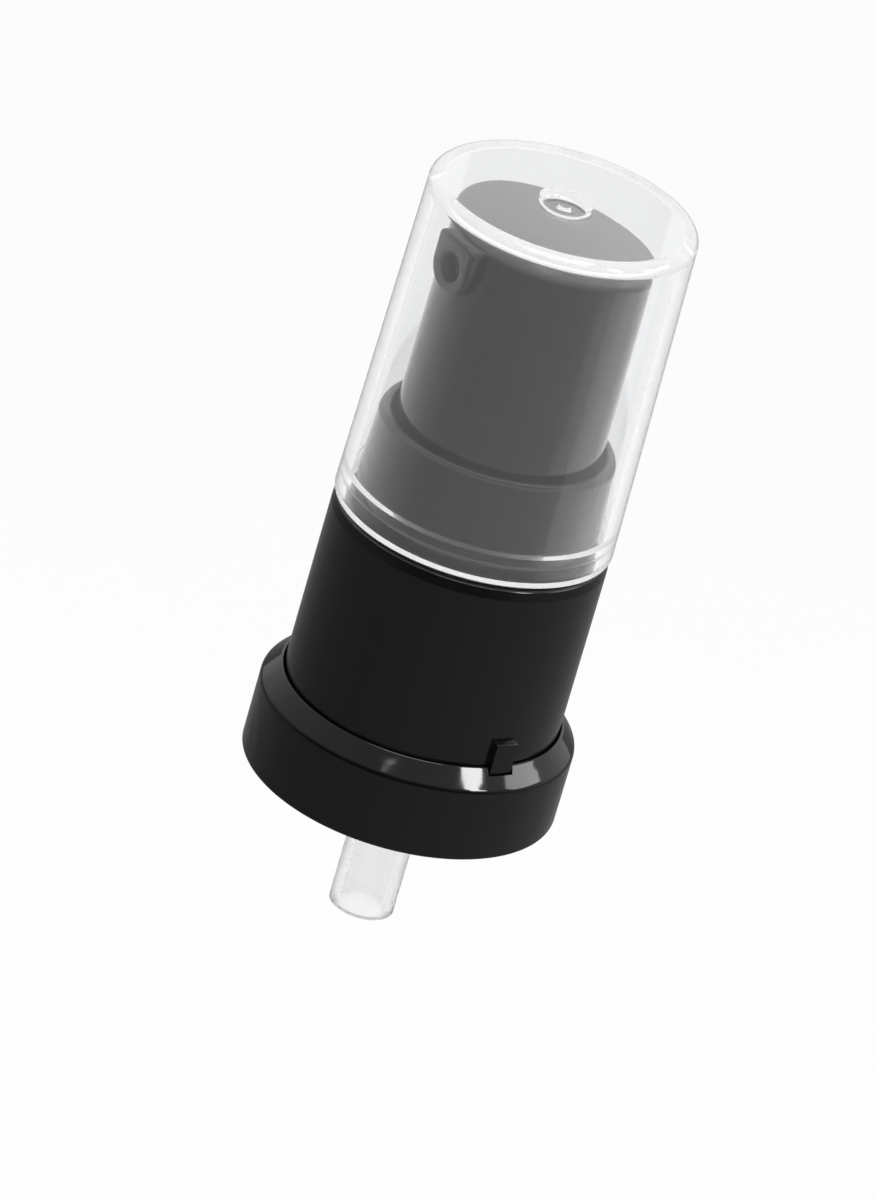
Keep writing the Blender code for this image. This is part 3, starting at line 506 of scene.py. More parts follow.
def foam_white(name):
    """Foamed sheet: small closed pores from cells, over a matt off-white; the pores are painted
    darker as shade in their hollows.
    """
    surface, tree, shader = start_finish(name, Roughness=0.85)
    place = add_node(tree, "TexCoord").outputs["Object"]
    cells = add_node(tree, "TexVoronoi", {"Vector": place, "Scale": 4200.0})
    # The colour darkens towards each cell's middle, where the bump sinks the pore: painted shade in
    # the hollows.
    wear(tree, shader, cells.outputs["Distance"], depth=0.00004,
         colours=((0.74, 0.74, 0.72), (0.90, 0.90, 0.88)))
    return surface


def drawn_steel(name, roughness):
    """Bright steel whose fine lines follow the piece's own UV map along its length."""
    surface, tree, shader = start_finish(name, Metallic=1.0)
    wear(tree, shader, noise(tree, scale=3.0, stretch=(60, 12, 1), place="UV"),
         colours=((0.50, 0.50, 0.51), (0.66, 0.66, 0.67)),
         gloss=(roughness * 0.7, roughness * 1.4))
    return surface


def milky_tube(name):
    """Extruded tube: translucent, with faint lines along its length."""
    surface, tree, shader = start_finish(name, Transmission_Weight=0.97, IOR=1.45)
    wear(tree, shader, noise(tree, scale=900.0, stretch=(1, 1, 0.03)), gloss=(0.24, 0.34),
         depth=0.000015, colours=((0.985, 0.988, 0.99), (0.997, 0.997, 0.998)))
    return surface


body_natural = natural_plastic("body natural", (0.84, 0.85, 0.84), 0.34, 0.35)
cover_natural = natural_plastic("cover natural", (0.86, 0.87, 0.86), 0.32, 0.35)
stem_natural = natural_plastic("stem natural", (0.86, 0.87, 0.87), 0.3, 0.3)
seal_natural = natural_plastic("seal natural", (0.88, 0.88, 0.85), 0.42, 0.45)
gasket_foam = foam_white("gasket foam")
spring_steel = drawn_steel("spring steel", 0.24)
ball_steel = drawn_steel("ball steel", 0.12)
tube_natural = milky_tube("tube natural")

# %% [markdown]
# ## Handing a piece over
#
# Every new piece stands for an imported node: it hides that node, gets its finish and rides on the
# node's body, which the record names. One call does all of it.

# %% Dress a node
BODY_OF = {node: body for body, nodes in frame["record"]["behaviour"]["bodies"].items()
           for node in nodes}


def stand_for(piece, node, surface):
    """Give the piece its finish, its body and the node that it replaces."""
    piece.data.materials.clear()
    piece.data.materials.append(surface)
    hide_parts(node)
    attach(piece, BODY_OF[node])
    print(f"{piece.name}: {len(piece.data.polygons)} faces for {node}")
    return piece


def stand_turned(node, surface, corners, columns=WIDE_COLUMNS, steps=ARC_STEPS):
    """Turn a rounded profile round Z and let it stand for the node."""
    return stand_for(turned("fine_" + node, profile(corners, steps), columns), node, surface)


# %% [markdown]
# ## Base ring
#
# The wide ring at the bottom has an upright wall, a sloped top and a bore for the collar. Two
# notches in its inner edge take the collar's lugs. The notched profile has the same points as
# the plain one: where the plain one climbs the slope and goes over the lip, the notched one
# drops to the notch's floor and runs along it.

# %% Base ring
ring_low, ring_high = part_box("base_ring")
RING_RADIUS = ring_high.x
RING_FOOT, RING_TOP = ring_low.z, ring_high.z
RING_BORE = 0.01224
RING_SHOULDER = RING_FOOT + 0.0067
RING_SHOULDER_ROUND = 0.0008
RING_LIP = 0.00025
RING_LIP_ROUND = 0.00012
RING_LEDGE_HEIGHT = 0.0006
RING_LEDGE_BORE = 0.0106
RING_ROUND = 0.0003
LUG_HALF_WIDTH = 0.00105
LUG_PROUD = 0.0006
LUG_SINK = 0.0010
PIECE_GAP = 0.00014
WALL_EDGE = 0.00008


def base_ring():
    """Turned ring; in its two windows the slope and the lip give way to the notch."""
    lip = RING_BORE + RING_LIP
    notch_radius = RING_BORE + LUG_PROUD + PIECE_GAP
    notch_floor = RING_TOP - LUG_SINK - PIECE_GAP
    slope = (RING_TOP - RING_SHOULDER) / (RING_RADIUS - lip)
    at_notch = RING_TOP - slope * (notch_radius - lip)
    outer = profile([(RING_LEDGE_BORE, RING_FOOT + RING_LEDGE_HEIGHT, 0),
                     (RING_LEDGE_BORE, RING_FOOT, EDGE),
                     (RING_RADIUS, RING_FOOT, RING_ROUND),
                     (RING_RADIUS, RING_SHOULDER, RING_SHOULDER_ROUND),
                     (notch_radius, at_notch, 0)])
    inner = np.array([(RING_BORE, notch_floor), (RING_BORE, RING_FOOT + RING_LEDGE_HEIGHT)])
    over = profile([(notch_radius, at_notch, 0), (lip, RING_TOP, RING_LIP_ROUND),
                    (RING_BORE, RING_TOP, RING_LIP_ROUND), (RING_BORE, notch_floor, 0)])[1:-1]
    corner = (notch_radius, notch_floor)
    wall = np.linspace((notch_radius, at_notch), corner, len(over))
    floor = np.linspace(corner, (RING_BORE, notch_floor), len(over))
    half = len(over) // 2
    under = np.concatenate([wall[::2][:half], floor[::2][:len(over) - half]])
    window = windows((0, math.pi), RING_BORE, LUG_HALF_WIDTH + PIECE_GAP, WALL_EDGE)
    return turned_with("fine_base_ring", outer, over, under, inner, window)


stand_for(base_ring(), "base_ring", ring_black)

# %% [markdown]
# ## Collar sleeve
#
# The sleeve is a drafted tube with a narrow lip turned in at its top, which shows as the dark band
# under the clear cap. Its lugs stand on two sides just above the ring. In their windows the wall
# steps out to the lug's face and back.

# %% Collar sleeve
sleeve_low, sleeve_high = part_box("collar_sleeve")
SLEEVE_FOOT_RADIUS = 0.01215
SLEEVE_TOP_RADIUS = 0.01210
SLEEVE_BEVEL = 0.0002
SLEEVE_BEVEL_HEIGHT = 0.0009
SLEEVE_FOOT, SLEEVE_TOP = sleeve_low.z, sleeve_high.z
SLEEVE_WALL = 0.00075
SLEEVE_LIP = 0.0012
SLEEVE_LIP_BORE = 0.0104
SLEEVE_ROUND = 0.00022
LUG_RISE = 0.0023
LUG_ROUND = 0.00016
LUG_SLOPE = 0.00005


def collar_sleeve():
    """Turned tube whose outer wall steps out by the lug's height in two windows."""
    lug_foot, lug_top = RING_TOP - LUG_SINK, RING_TOP + LUG_RISE
    face = SLEEVE_FOOT_RADIUS + LUG_PROUD
    draft = (SLEEVE_FOOT_RADIUS - SLEEVE_TOP_RADIUS) / (SLEEVE_TOP - SLEEVE_FOOT)
    base = SLEEVE_FOOT_RADIUS - draft * (lug_foot - SLEEVE_FOOT)
    crest = SLEEVE_FOOT_RADIUS - draft * (lug_top - SLEEVE_FOOT)
    below = profile([(SLEEVE_FOOT_RADIUS - SLEEVE_WALL, SLEEVE_FOOT, 0),
                     (SLEEVE_FOOT_RADIUS, SLEEVE_FOOT, SLEEVE_ROUND), (base, lug_foot, 0)])[:-1]
    lug = profile([(base, lug_foot, 0), (face, lug_foot + LUG_SLOPE, LUG_ROUND),
                   (face, lug_top, LUG_ROUND), (crest, lug_top + LUG_SLOPE, 0)])
    wall = lug.copy()
    wall[:, 0] = SLEEVE_FOOT_RADIUS - draft * (wall[:, 1] - SLEEVE_FOOT)
    above = profile([(crest, lug_top + LUG_SLOPE, 0),
                     (SLEEVE_TOP_RADIUS, SLEEVE_TOP - SLEEVE_BEVEL_HEIGHT, SOFT),
                     (SLEEVE_TOP_RADIUS - SLEEVE_BEVEL, SLEEVE_TOP, SLEEVE_ROUND),
                     (SLEEVE_LIP_BORE, SLEEVE_TOP, EDGE),
                     (SLEEVE_LIP_BORE, SLEEVE_TOP - SLEEVE_LIP, EDGE),
                     (SLEEVE_TOP_RADIUS - SLEEVE_WALL, SLEEVE_TOP - SLEEVE_LIP, SOFT),
                     (SLEEVE_FOOT_RADIUS - SLEEVE_WALL, SLEEVE_FOOT, 0)])[1:-1]
    window = windows((0, math.pi), SLEEVE_FOOT_RADIUS, LUG_HALF_WIDTH, WALL_EDGE)
    return turned_with("fine_collar_sleeve", below, wall, lug, above, window)


stand_for(collar_sleeve(), "collar_sleeve", sleeve_black)

# %% [markdown]
# ## Guide ring
#
# The head dips into this ring, and the overcap snaps under its flared skirt. It flares a little
# downwards and is undercut below the skirt's edge. The raised inner lip on its top and the rim
# outside it each draw a thin bright line in front.

# %% Guide ring
guide_low, guide_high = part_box("guide_ring")
GUIDE_FOOT, GUIDE_TOP = guide_low.z, guide_high.z
GUIDE_BORE = 0.0094
GUIDE_FLANGE = 0.01105
GUIDE_FLANGE_HEIGHT = 0.0012
GUIDE_NECK = 0.0101
GUIDE_SKIRT = 0.0106
GUIDE_SKIRT_FOOT = 0.0140
GUIDE_SKIRT_ROUND = 0.00014
GUIDE_UNDERCUT = 0.0003
GUIDE_RIM = 0.0103
GUIDE_LAND = 0.00985
GUIDE_STEP = 0.00018
GUIDE_ROUND = 0.00025

stand_turned("guide_ring", guide_black, [
    (GUIDE_BORE, GUIDE_FOOT, 0),
    (GUIDE_FLANGE, GUIDE_FOOT, EDGE),
    (GUIDE_FLANGE, GUIDE_FOOT + GUIDE_FLANGE_HEIGHT, EDGE),
    (GUIDE_NECK, GUIDE_FOOT + GUIDE_FLANGE_HEIGHT, EDGE),
    (GUIDE_NECK, GUIDE_SKIRT_FOOT - GUIDE_UNDERCUT, SOFT),
    (GUIDE_SKIRT, GUIDE_SKIRT_FOOT, GUIDE_SKIRT_ROUND),
    (GUIDE_RIM, GUIDE_TOP - GUIDE_STEP, GUIDE_ROUND),
    (GUIDE_LAND + GUIDE_STEP, GUIDE_TOP - GUIDE_STEP, EDGE),
    (GUIDE_LAND, GUIDE_TOP, GUIDE_ROUND),
    (GUIDE_BORE, GUIDE_TOP, EDGE),
])

# %% [markdown]
# ## Threaded closure
#
# The nut inside the collar grips the bottle's neck. Its thread can't be turned as a profile, because
# it climbs: the bore's radius shrinks by the thread's depth wherever height minus pitch times turn
# is near a whole number of pitches. The thread fades in and out at its ends.

# %% Threaded closure
nut_low, nut_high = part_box("threaded_closure")
NUT_RADIUS = nut_high.x
NUT_FOOT, NUT_TOP = nut_low.z, nut_high.z
NUT_BORE = 0.0102
NUT_DECK = 0.0012
NUT_HOLE = 0.0068
NUT_ROUND = 0.0004
THREAD_PITCH = 0.003175
THREAD_DEPTH = 0.0009
THREAD_WIDTH = 0.0011
THREAD_ROWS = 150
THREAD_MARGIN = 0.0010


def threaded_closure():
    """Turned nut whose bore carries a helical ridge: depth times a flat-topped bump of the
    distance to the nearest thread line, faded over the first and last millimetre."""
    shell = profile([(NUT_BORE, NUT_FOOT, EDGE), (NUT_RADIUS, NUT_FOOT, SOFT),
                     (NUT_RADIUS, NUT_TOP, NUT_ROUND), (NUT_HOLE, NUT_TOP, EDGE),
                     (NUT_HOLE, NUT_TOP - NUT_DECK, 0), (NUT_BORE, NUT_TOP - NUT_DECK, 0)])
    bore_high, bore_low = NUT_TOP - NUT_DECK, shell[0, 1]
    height = np.linspace(bore_high, bore_low, THREAD_ROWS)[1:-1]
    bore = np.stack([np.full_like(height, NUT_BORE), height], axis=1)
    outline = np.concatenate([shell, bore])
    angle = circle(WIDE_COLUMNS)
    radius, level = outline[:, :1], outline[:, 1:]
    phase = (level - bore_low) / THREAD_PITCH - angle / math.tau
    offset = np.abs(phase - np.round(phase)) * THREAD_PITCH
    flank = THREAD_DEPTH / 2
    ridge = smooth(np.clip((THREAD_WIDTH / 2 + flank / 2 - offset) / flank, 0, 1))
    ends = np.clip((level - bore_low - THREAD_MARGIN) / THREAD_MARGIN, 0, 1)
    ends = ends * np.clip((bore_high - THREAD_MARGIN * 3 - level) / THREAD_MARGIN, 0, 1)
    inside = (np.arange(len(outline)) >= len(shell))[:, None]
    radius = radius - THREAD_DEPTH * ridge * ends * inside
    return sheet_of_quads("fine_threaded_closure", round_axis(radius, angle, level))


stand_for(threaded_closure(), "threaded_closure", nut_black)

# %% [markdown]
# ## Gasket, chaplet, piston and rod
#
# These four are plain turned pieces. Each profile lists its corners once round, with small
# fillets where a tool would round them.

# %% Plain turned pieces
gasket_low, gasket_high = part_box("gasket")
GASKET_BORE = 0.0048
stand_turned("gasket", gasket_foam, [
    (GASKET_BORE, gasket_low.z, MOULD),
    (gasket_high.x, gasket_low.z, MOULD),
    (gasket_high.x, gasket_high.z, MOULD),
    (GASKET_BORE, gasket_high.z, MOULD),
], INNER_COLUMNS)

chaplet_low, chaplet_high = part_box("chaplet")
CHAPLET_BORE = 0.0055
CHAPLET_CATCH = 0.00505
CHAPLET_CATCH_TOP = 0.0052
CHAPLET_PLATE_TOP = 0.0095
CHAPLET_PLATE = 0.0012
STEM_HOLE = 0.00235
STEM_GUIDE = 0.00325
catch_slope = CHAPLET_BORE - CHAPLET_CATCH
stand_turned("chaplet", cover_natural, [
    (CHAPLET_BORE, chaplet_low.z, EDGE),
    (chaplet_high.x, chaplet_low.z, EDGE),
    (chaplet_high.x, CHAPLET_PLATE_TOP, FULL),
    (STEM_GUIDE, CHAPLET_PLATE_TOP, SOFT),
    (STEM_GUIDE, chaplet_high.z, EDGE),
    (STEM_HOLE, chaplet_high.z, EDGE),
    (STEM_HOLE, CHAPLET_PLATE_TOP - CHAPLET_PLATE, 0),
    (CHAPLET_BORE, CHAPLET_PLATE_TOP - CHAPLET_PLATE, SOFT),
    (CHAPLET_BORE, CHAPLET_CATCH_TOP + catch_slope, 0),
    (CHAPLET_CATCH, CHAPLET_CATCH_TOP, FINE),
    (CHAPLET_CATCH, CHAPLET_CATCH_TOP - catch_slope, FINE),
    (CHAPLET_BORE, CHAPLET_CATCH_TOP - catch_slope - catch_slope, 0),
], INNER_COLUMNS)

piston_low, piston_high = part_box("piston")
PISTON_LIP = 0.0004
PISTON_BORE = STEM_HOLE
stand_turned("piston", seal_natural, [
    (PISTON_BORE, piston_low.z, FINE),
    (piston_high.x - PISTON_LIP / 2, piston_low.z, FINE),
    (piston_high.x, piston_low.z + PISTON_LIP / 2, FINE),
    (piston_high.x - PISTON_LIP, piston_low.z + PISTON_LIP * 2, FULL),
    (piston_high.x - PISTON_LIP, piston_high.z - PISTON_LIP * 2, FULL),
    (piston_high.x, piston_high.z - PISTON_LIP / 2, FINE),
    (piston_high.x - PISTON_LIP / 2, piston_high.z, FINE),
    (PISTON_BORE, piston_high.z, FINE),
], SMALL_COLUMNS)

rod_low, rod_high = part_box("piston_rod")
ROD_FLANGE_FOOT, ROD_FLANGE_TOP = 0.0010, 0.0020
ROD_TAIL = 0.0013
ROD_PIN = 0.0012
stand_turned("piston_rod", stem_natural, [
    (0, rod_low.z, 0),
    (ROD_TAIL / 2, rod_low.z, EDGE),
    (ROD_TAIL, rod_low.z + ROD_TAIL / 2, EDGE),
    (ROD_TAIL, ROD_FLANGE_FOOT, SOFT),
    (rod_high.x, ROD_FLANGE_FOOT, EDGE),
    (rod_high.x, ROD_FLANGE_TOP, EDGE),
    (ROD_PIN, ROD_FLANGE_TOP, EDGE),
    (ROD_PIN, rod_high.z, EDGE),
    (0, rod_high.z, 0),
], SMALL_COLUMNS)

# %% [markdown]
# ## Housing
#
# The pump's body hangs in the neck: a collar with a snap bead, a flange, the piston's chamber, the
# ball's seat and the socket for the tube. Three ribs keep the ball in its cage. They are windows in
# which the bore comes inward, and a Boolean drills the small vent in the chamber's wall.

# %% Housing
housing_low, housing_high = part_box("housing")
HOUSING_RADIUS = 0.0045
HOUSING_COLLAR = 0.0049
HOUSING_BEAD = 0.0003
BEAD_FOOT, BEAD_TOP = 0.0055, 0.0063
FLANGE_FOOT, FLANGE_TOP = 0.0013, 0.0025
CHAMBER_RADIUS = 0.0035
CHAMBER_FLOOR = -0.0088
CAGE_RADIUS = 0.0021
INLET_RADIUS = 0.0009
INLET_TOP = -0.01391
TAIL_RADIUS = 0.00371
TAIL_BORE = 0.00301
TAIL_ROOF = 0.0008
HOUSING_TAPER = 0.0008
RIB_HALF_WIDTH = 0.00035
RIB_REACH = 0.0006
RIB_TOP, RIB_FOOT = -0.0090, -0.0095
RIB_EDGE = 0.00008
CAGE_COLUMNS = 120
CUTTER_COLUMNS = 24
VENT_RADIUS = 0.0004
VENT_DROP = 0.0014


def rod_along(name, radius, start, end):
    """Plain round rod on the axis between two heights, for a cut."""
    return turned(name, np.array([(0, start), (radius, start), (radius, end), (0, end)]),
                  CUTTER_COLUMNS)


def housing():
    """Turned body with ribs in three windows of its cage, and one drilled vent."""
    outside = profile([
        (TAIL_BORE, housing_low.z, EDGE), (TAIL_RADIUS, housing_low.z, MOULD),
        (TAIL_RADIUS, INLET_TOP, SOFT), (HOUSING_RADIUS, INLET_TOP + HOUSING_TAPER, FULL),
        (HOUSING_RADIUS, FLANGE_FOOT, SOFT), (housing_high.x, FLANGE_FOOT, MOULD),
        (housing_high.x, FLANGE_TOP, MOULD), (HOUSING_COLLAR, FLANGE_TOP, SOFT),
        (HOUSING_COLLAR, BEAD_FOOT, 0),
        (HOUSING_COLLAR + HOUSING_BEAD, BEAD_FOOT + HOUSING_BEAD, EDGE),
        (HOUSING_COLLAR + HOUSING_BEAD, BEAD_TOP - HOUSING_BEAD, EDGE),
        (HOUSING_COLLAR, BEAD_TOP, 0),
        (HOUSING_COLLAR, housing_high.z, MOULD), (CHAMBER_RADIUS, housing_high.z, MOULD),
        (CHAMBER_RADIUS, CHAMBER_FLOOR, 0)])
    outside = np.concatenate([outside, [(CAGE_RADIUS, CHAMBER_FLOOR)]])
    height = np.array([RIB_TOP, RIB_TOP - RIB_EDGE, RIB_FOOT + RIB_EDGE, RIB_FOOT])
    cage = np.stack([np.full(4, CAGE_RADIUS), height], axis=1)
    ribbed = cage - np.array([(0, 0), (RIB_REACH, 0), (RIB_REACH, 0), (0, 0)])
    rise = CAGE_RADIUS - INLET_RADIUS
    seat = np.array([(CAGE_RADIUS, INLET_TOP + rise), (INLET_RADIUS, INLET_TOP),
                     (INLET_RADIUS, INLET_TOP - TAIL_ROOF), (TAIL_BORE, INLET_TOP - TAIL_ROOF)])
    centres = [math.tau * (index + 0.25) / 3 for index in range(3)]
    window = windows(centres, CAGE_RADIUS, RIB_HALF_WIDTH, RIB_EDGE, CAGE_COLUMNS)
    body = turned_with("fine_housing", outside, cage, ribbed, seat, window)
    vent = laid_forward(rod_along("vent", VENT_RADIUS, CHAMBER_RADIUS / 2, HOUSING_RADIUS * 1.1),
                        -VENT_DROP)
    return combine(body, vent, "DIFFERENCE")


stand_for(housing(), "housing", body_natural)

# %% [markdown]
# ## Dip tube
#
# The short natural tube is cut square, so its edges are only broken, not rounded. Its wall matters,
# because the tube is translucent and its two walls show as the pale lines down its sides.

# %% Dip tube
tube_low, tube_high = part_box("dip_tube")
TUBE_WALL = 0.0008
TUBE_EDGE = 0.00006
TUBE_COLUMNS = 160
tube_bore = tube_high.x - TUBE_WALL

stand_turned("dip_tube", tube_natural, [
    (tube_bore, tube_low.z, TUBE_EDGE),
    (tube_high.x, tube_low.z, TUBE_EDGE),
    (tube_high.x, tube_high.z, TUBE_EDGE),
    (tube_bore, tube_high.z, TUBE_EDGE),
], TUBE_COLUMNS)

# %% [markdown]
# ## Stem
#
# The hollow stem has a shoulder that stops it under the chaplet, and a slot across its foot that
# makes two ports inside the piston. The slot is a flat bar, cut out by a Boolean.

# %% Stem
stem_low, stem_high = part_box("stem")
STEM_RADIUS = 0.0022
STEM_BORE = 0.00135
SHOULDER_FOOT, SHOULDER_TOP = 0.0070, 0.0080
PORT_HALF_WIDTH = 0.0005
PORT_HEIGHT = 0.0018


def bar(name, low, high):
    """Closed bar between two opposite corners: four columns at its corners, capped by poles."""
    corners = np.array([low[:2], (high[0], low[1]), high[:2], (low[0], high[1])])
    middle = 0 * corners + corners.mean(axis=0)
    rings = [(middle, low[2]), (corners, low[2]), (corners, high[2]), (middle, high[2])]
    grid = np.stack([np.column_stack([ring, [level] * 4]) for ring, level in rings])
    return sheet_of_quads(name, grid, wrap_rows=False)


def stem():
    """Turned tube with a stop shoulder, slotted at its foot."""
    tube = turned("fine_stem", profile([
        (STEM_BORE, stem_low.z, FINE), (STEM_RADIUS, stem_low.z, FINE),
        (STEM_RADIUS, SHOULDER_FOOT, EDGE), (stem_high.x, SHOULDER_FOOT, EDGE),
        (stem_high.x, SHOULDER_TOP, EDGE), (STEM_RADIUS, SHOULDER_TOP, EDGE),
        (STEM_RADIUS, stem_high.z, EDGE), (STEM_BORE, stem_high.z, EDGE)]), SMALL_COLUMNS)
    slot = bar("slot", (-stem_high.x, -PORT_HALF_WIDTH, stem_low.z - PORT_HEIGHT),
               (stem_high.x, PORT_HALF_WIDTH, stem_low.z + PORT_HEIGHT))
    return combine(tube, slot, "DIFFERENCE")


stand_for(stem(), "stem", stem_natural)

# %% [markdown]
# ## Return spring and inlet ball
#
# The spring's wire is a circle carried along a helix. Its first and last turns lie close, the
# middle turns open evenly, and the ends run straight on for one wire's width. The ball is a
# sphere on two angles. Both get a UV map, which runs along the wire for the drawn lines. The
# spring stands on the housing's floor.

# %% Spring and ball
spring_low, spring_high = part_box("return_spring")
WIRE_RADIUS = 0.00028
SPRING_RADIUS = 0.0026
SPRING_TURNS = 6
END_PITCH = 0.0010
TURN_POINTS = 32
WIRE_POINTS = 14
BALL_ROWS, BALL_COLUMNS = 33, 48


def wire_line():
    """Middle of the wire: climb is the end pitch in the first and last turn, and an even open
    pitch between; each point stands at the spring's radius, turned by the share of a turn."""
    low = spring_low.z + WIRE_RADIUS
    rise = spring_high.z - WIRE_RADIUS - low
    open_pitch = (rise - 2 * END_PITCH) / (SPRING_TURNS - 2)
    turn = np.linspace(0, SPRING_TURNS, SPRING_TURNS * TURN_POINTS + 1)
    climbed = (np.minimum(turn, 1) + np.maximum(turn - SPRING_TURNS + 1, 0)) * END_PITCH
    climbed += np.clip(turn - 1, 0, SPRING_TURNS - 2) * open_pitch
    helix = round_axis(SPRING_RADIUS, math.tau * turn, low + climbed)
    straight = np.array([0, 2 * WIRE_RADIUS, 0])
    return np.concatenate([[helix[0] - straight], helix, [helix[-1] + straight]])


def return_spring():
    """Circle carried along the wire's middle: out is the radial way, up is square to it and to
    the path, and each ring is middle + r (cos a out + sin a up). Poles close both ends."""
    middle = wire_line()
    along = unit(np.gradient(middle, axis=0))
    out = middle * (1, 1, 0)
    out = unit(out - along * np.sum(out * along, axis=1, keepdims=True))
    up = np.cross(along, out)
    angle = circle(WIRE_POINTS)[:, None]
    spokes = np.cos(angle) * out[:, None] + np.sin(angle) * up[:, None]
    rings = middle[:, None] + WIRE_RADIUS * spokes
    ends = [np.broadcast_to(middle[index], (1, WIRE_POINTS, 3)) for index in (0, -1)]
    return sheet_of_quads("fine_return_spring", np.concatenate([ends[0], rings, ends[1]]),
                          wrap_rows=False, mapped=True)


def inlet_ball():
    """Sphere: at polar angle p and turn a the point is r (sin p cos a, sin p sin a, cos p)."""
    low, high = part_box("inlet_ball")
    radius, centre = (high.z - low.z) / 2, (low.z + high.z) / 2
    polar = np.linspace(0, math.pi, BALL_ROWS)
    outline = np.stack([radius * np.sin(polar), centre - radius * np.cos(polar)], axis=1)
    outline[[0, -1], 0] = 0
    return turned("fine_inlet_ball", outline, BALL_COLUMNS, mapped=True)


spring = stand_for(return_spring(), "return_spring", spring_steel)
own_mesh(spring)
stand_for(inlet_ball(), "inlet_ball", ball_steel)

# %% [markdown]
# ## Actuator head
#
# The head is a tall drafted shell. Its top is a wide arc across Y whose peak lies behind the
# nozzle, so each ring of the top takes its height from that arc.

# %% Actuator shell
HEAD_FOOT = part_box("actuator")[0].z
HEAD_FOOT_RADIUS = 0.0090
HEAD_TOP_RADIUS = 0.0088
HEAD_WALL = 0.0010
HEAD_DECK = 0.0012
HEAD_ROUND = 0.0005
HEAD_FOOT_ROUND = 0.0001
HEAD_STEPS, CROWN_ROWS = 11, 9
CROWN_PEAK = 0.0388
CROWN_FORWARD = 0.0071
CROWN_RADIUS = 0.0830
SOCKET_RADIUS = 0.0031
SOCKET_BORE = 0.00235
SOCKET_FOOT = 0.0150
STEM_STOP = 0.0258
CHANNEL_RADIUS = 0.0009
NOZZLE_HEIGHT = 0.0361


def quarter_turn(points):
    """Sine and cosine at points spread evenly over a quarter circle."""
    swing = np.linspace(0, QUARTER, points)
    return np.sin(swing), np.cos(swing)


def crown(y):
    """Height of the head's top: the arc's centre lies its radius below the peak."""
    return CROWN_PEAK - CROWN_RADIUS + np.sqrt(CROWN_RADIUS ** 2 - (y + CROWN_FORWARD) ** 2)


def actuator_shell():
    """Rows (radius, height, share of crown): a point's height is the row's height plus the
    share times the crown's height there."""
    edge = HEAD_TOP_RADIUS - HEAD_ROUND
    sine, cosine = quarter_turn(HEAD_STEPS)
    top = [(radius, 0, 1) for radius in np.linspace(0, edge - HOLD * 2, CROWN_ROWS)]
    fillet = np.stack([edge + HEAD_ROUND * sine, HEAD_ROUND * (cosine - 1),
                       np.ones(HEAD_STEPS)], axis=1)
    channel_top = NOZZLE_HEIGHT + CHANNEL_RADIUS
    side = [(HEAD_TOP_RADIUS, -HEAD_ROUND - HOLD * 2, 1),
            (HEAD_FOOT_RADIUS, HEAD_FOOT + HEAD_FOOT_ROUND + HOLD, 0),
            (HEAD_FOOT_RADIUS, HEAD_FOOT + HEAD_FOOT_ROUND, 0),
            (HEAD_FOOT_RADIUS - HEAD_FOOT_ROUND, HEAD_FOOT, 0),
            (HEAD_FOOT_RADIUS - HEAD_WALL, HEAD_FOOT, 0),
            (HEAD_TOP_RADIUS - HEAD_WALL, -HEAD_DECK, 1), (SOCKET_RADIUS, -HEAD_DECK, 1),
            (SOCKET_RADIUS, SOCKET_FOOT, 0), (SOCKET_BORE, SOCKET_FOOT, 0),
            (SOCKET_BORE, STEM_STOP, 0), (STEM_BORE, STEM_STOP, 0),
            (STEM_BORE, channel_top, 0), (0, channel_top, 0)]
    rows = np.concatenate([top, fillet, side])[:, :, None]
    angle = circle(WIDE_COLUMNS)
    height = rows[:, 1] + rows[:, 2] * crown(np.minimum(rows[:, 0], edge) * np.sin(angle))
    return sheet_of_quads("fine_actuator", round_axis(rows[:, 0], angle, height), wrap_rows=False)


# %% [markdown]
# ## Nozzle boss and bore
#
# The nozzle's boss is flat on top and half round below. It is lofted by itself and joined to the
# shell, and then the bore is drilled through both.

# %% Nozzle boss and bore
NOZZLE_FACE = 0.00975
NOZZLE_HALF_WIDTH = 0.00245
NOZZLE_BORE = 0.0013
NOZZLE_DEPTH = 0.0034
NOZZLE_ROUND = 0.00035
NOZZLE_CORNER = 0.00045
NOZZLE_STEP = 0.0002
MOUTH_ROUND = 0.00015
LOOP_POINTS, FACE_POINTS, MOUTH_POINTS = 16, 9, 6


def boss_loop(inset):
    """Closed U seen from the front: from the top's middle round a corner arc, down the side,
    round the half circle below the bore, and back up. An inset moves it all inwards."""
    half = NOZZLE_HALF_WIDTH - inset
    top = crown(-HEAD_TOP_RADIUS) - NOZZLE_STEP - inset
    corner = max(NOZZLE_CORNER - inset, HOLD)
    sine, cosine = quarter_turn(LOOP_POINTS)
    arc = np.stack([half - corner + corner * sine, top - corner + corner * cosine], axis=1)
    low = np.stack([half * cosine, NOZZLE_HEIGHT - half * sine], axis=1)
    right = np.concatenate([[(0, top), ((half - corner) / 2, top)], arc, low])
    left = right[::-1][1:-1] * (-1, 1)
    return np.concatenate([right, left])


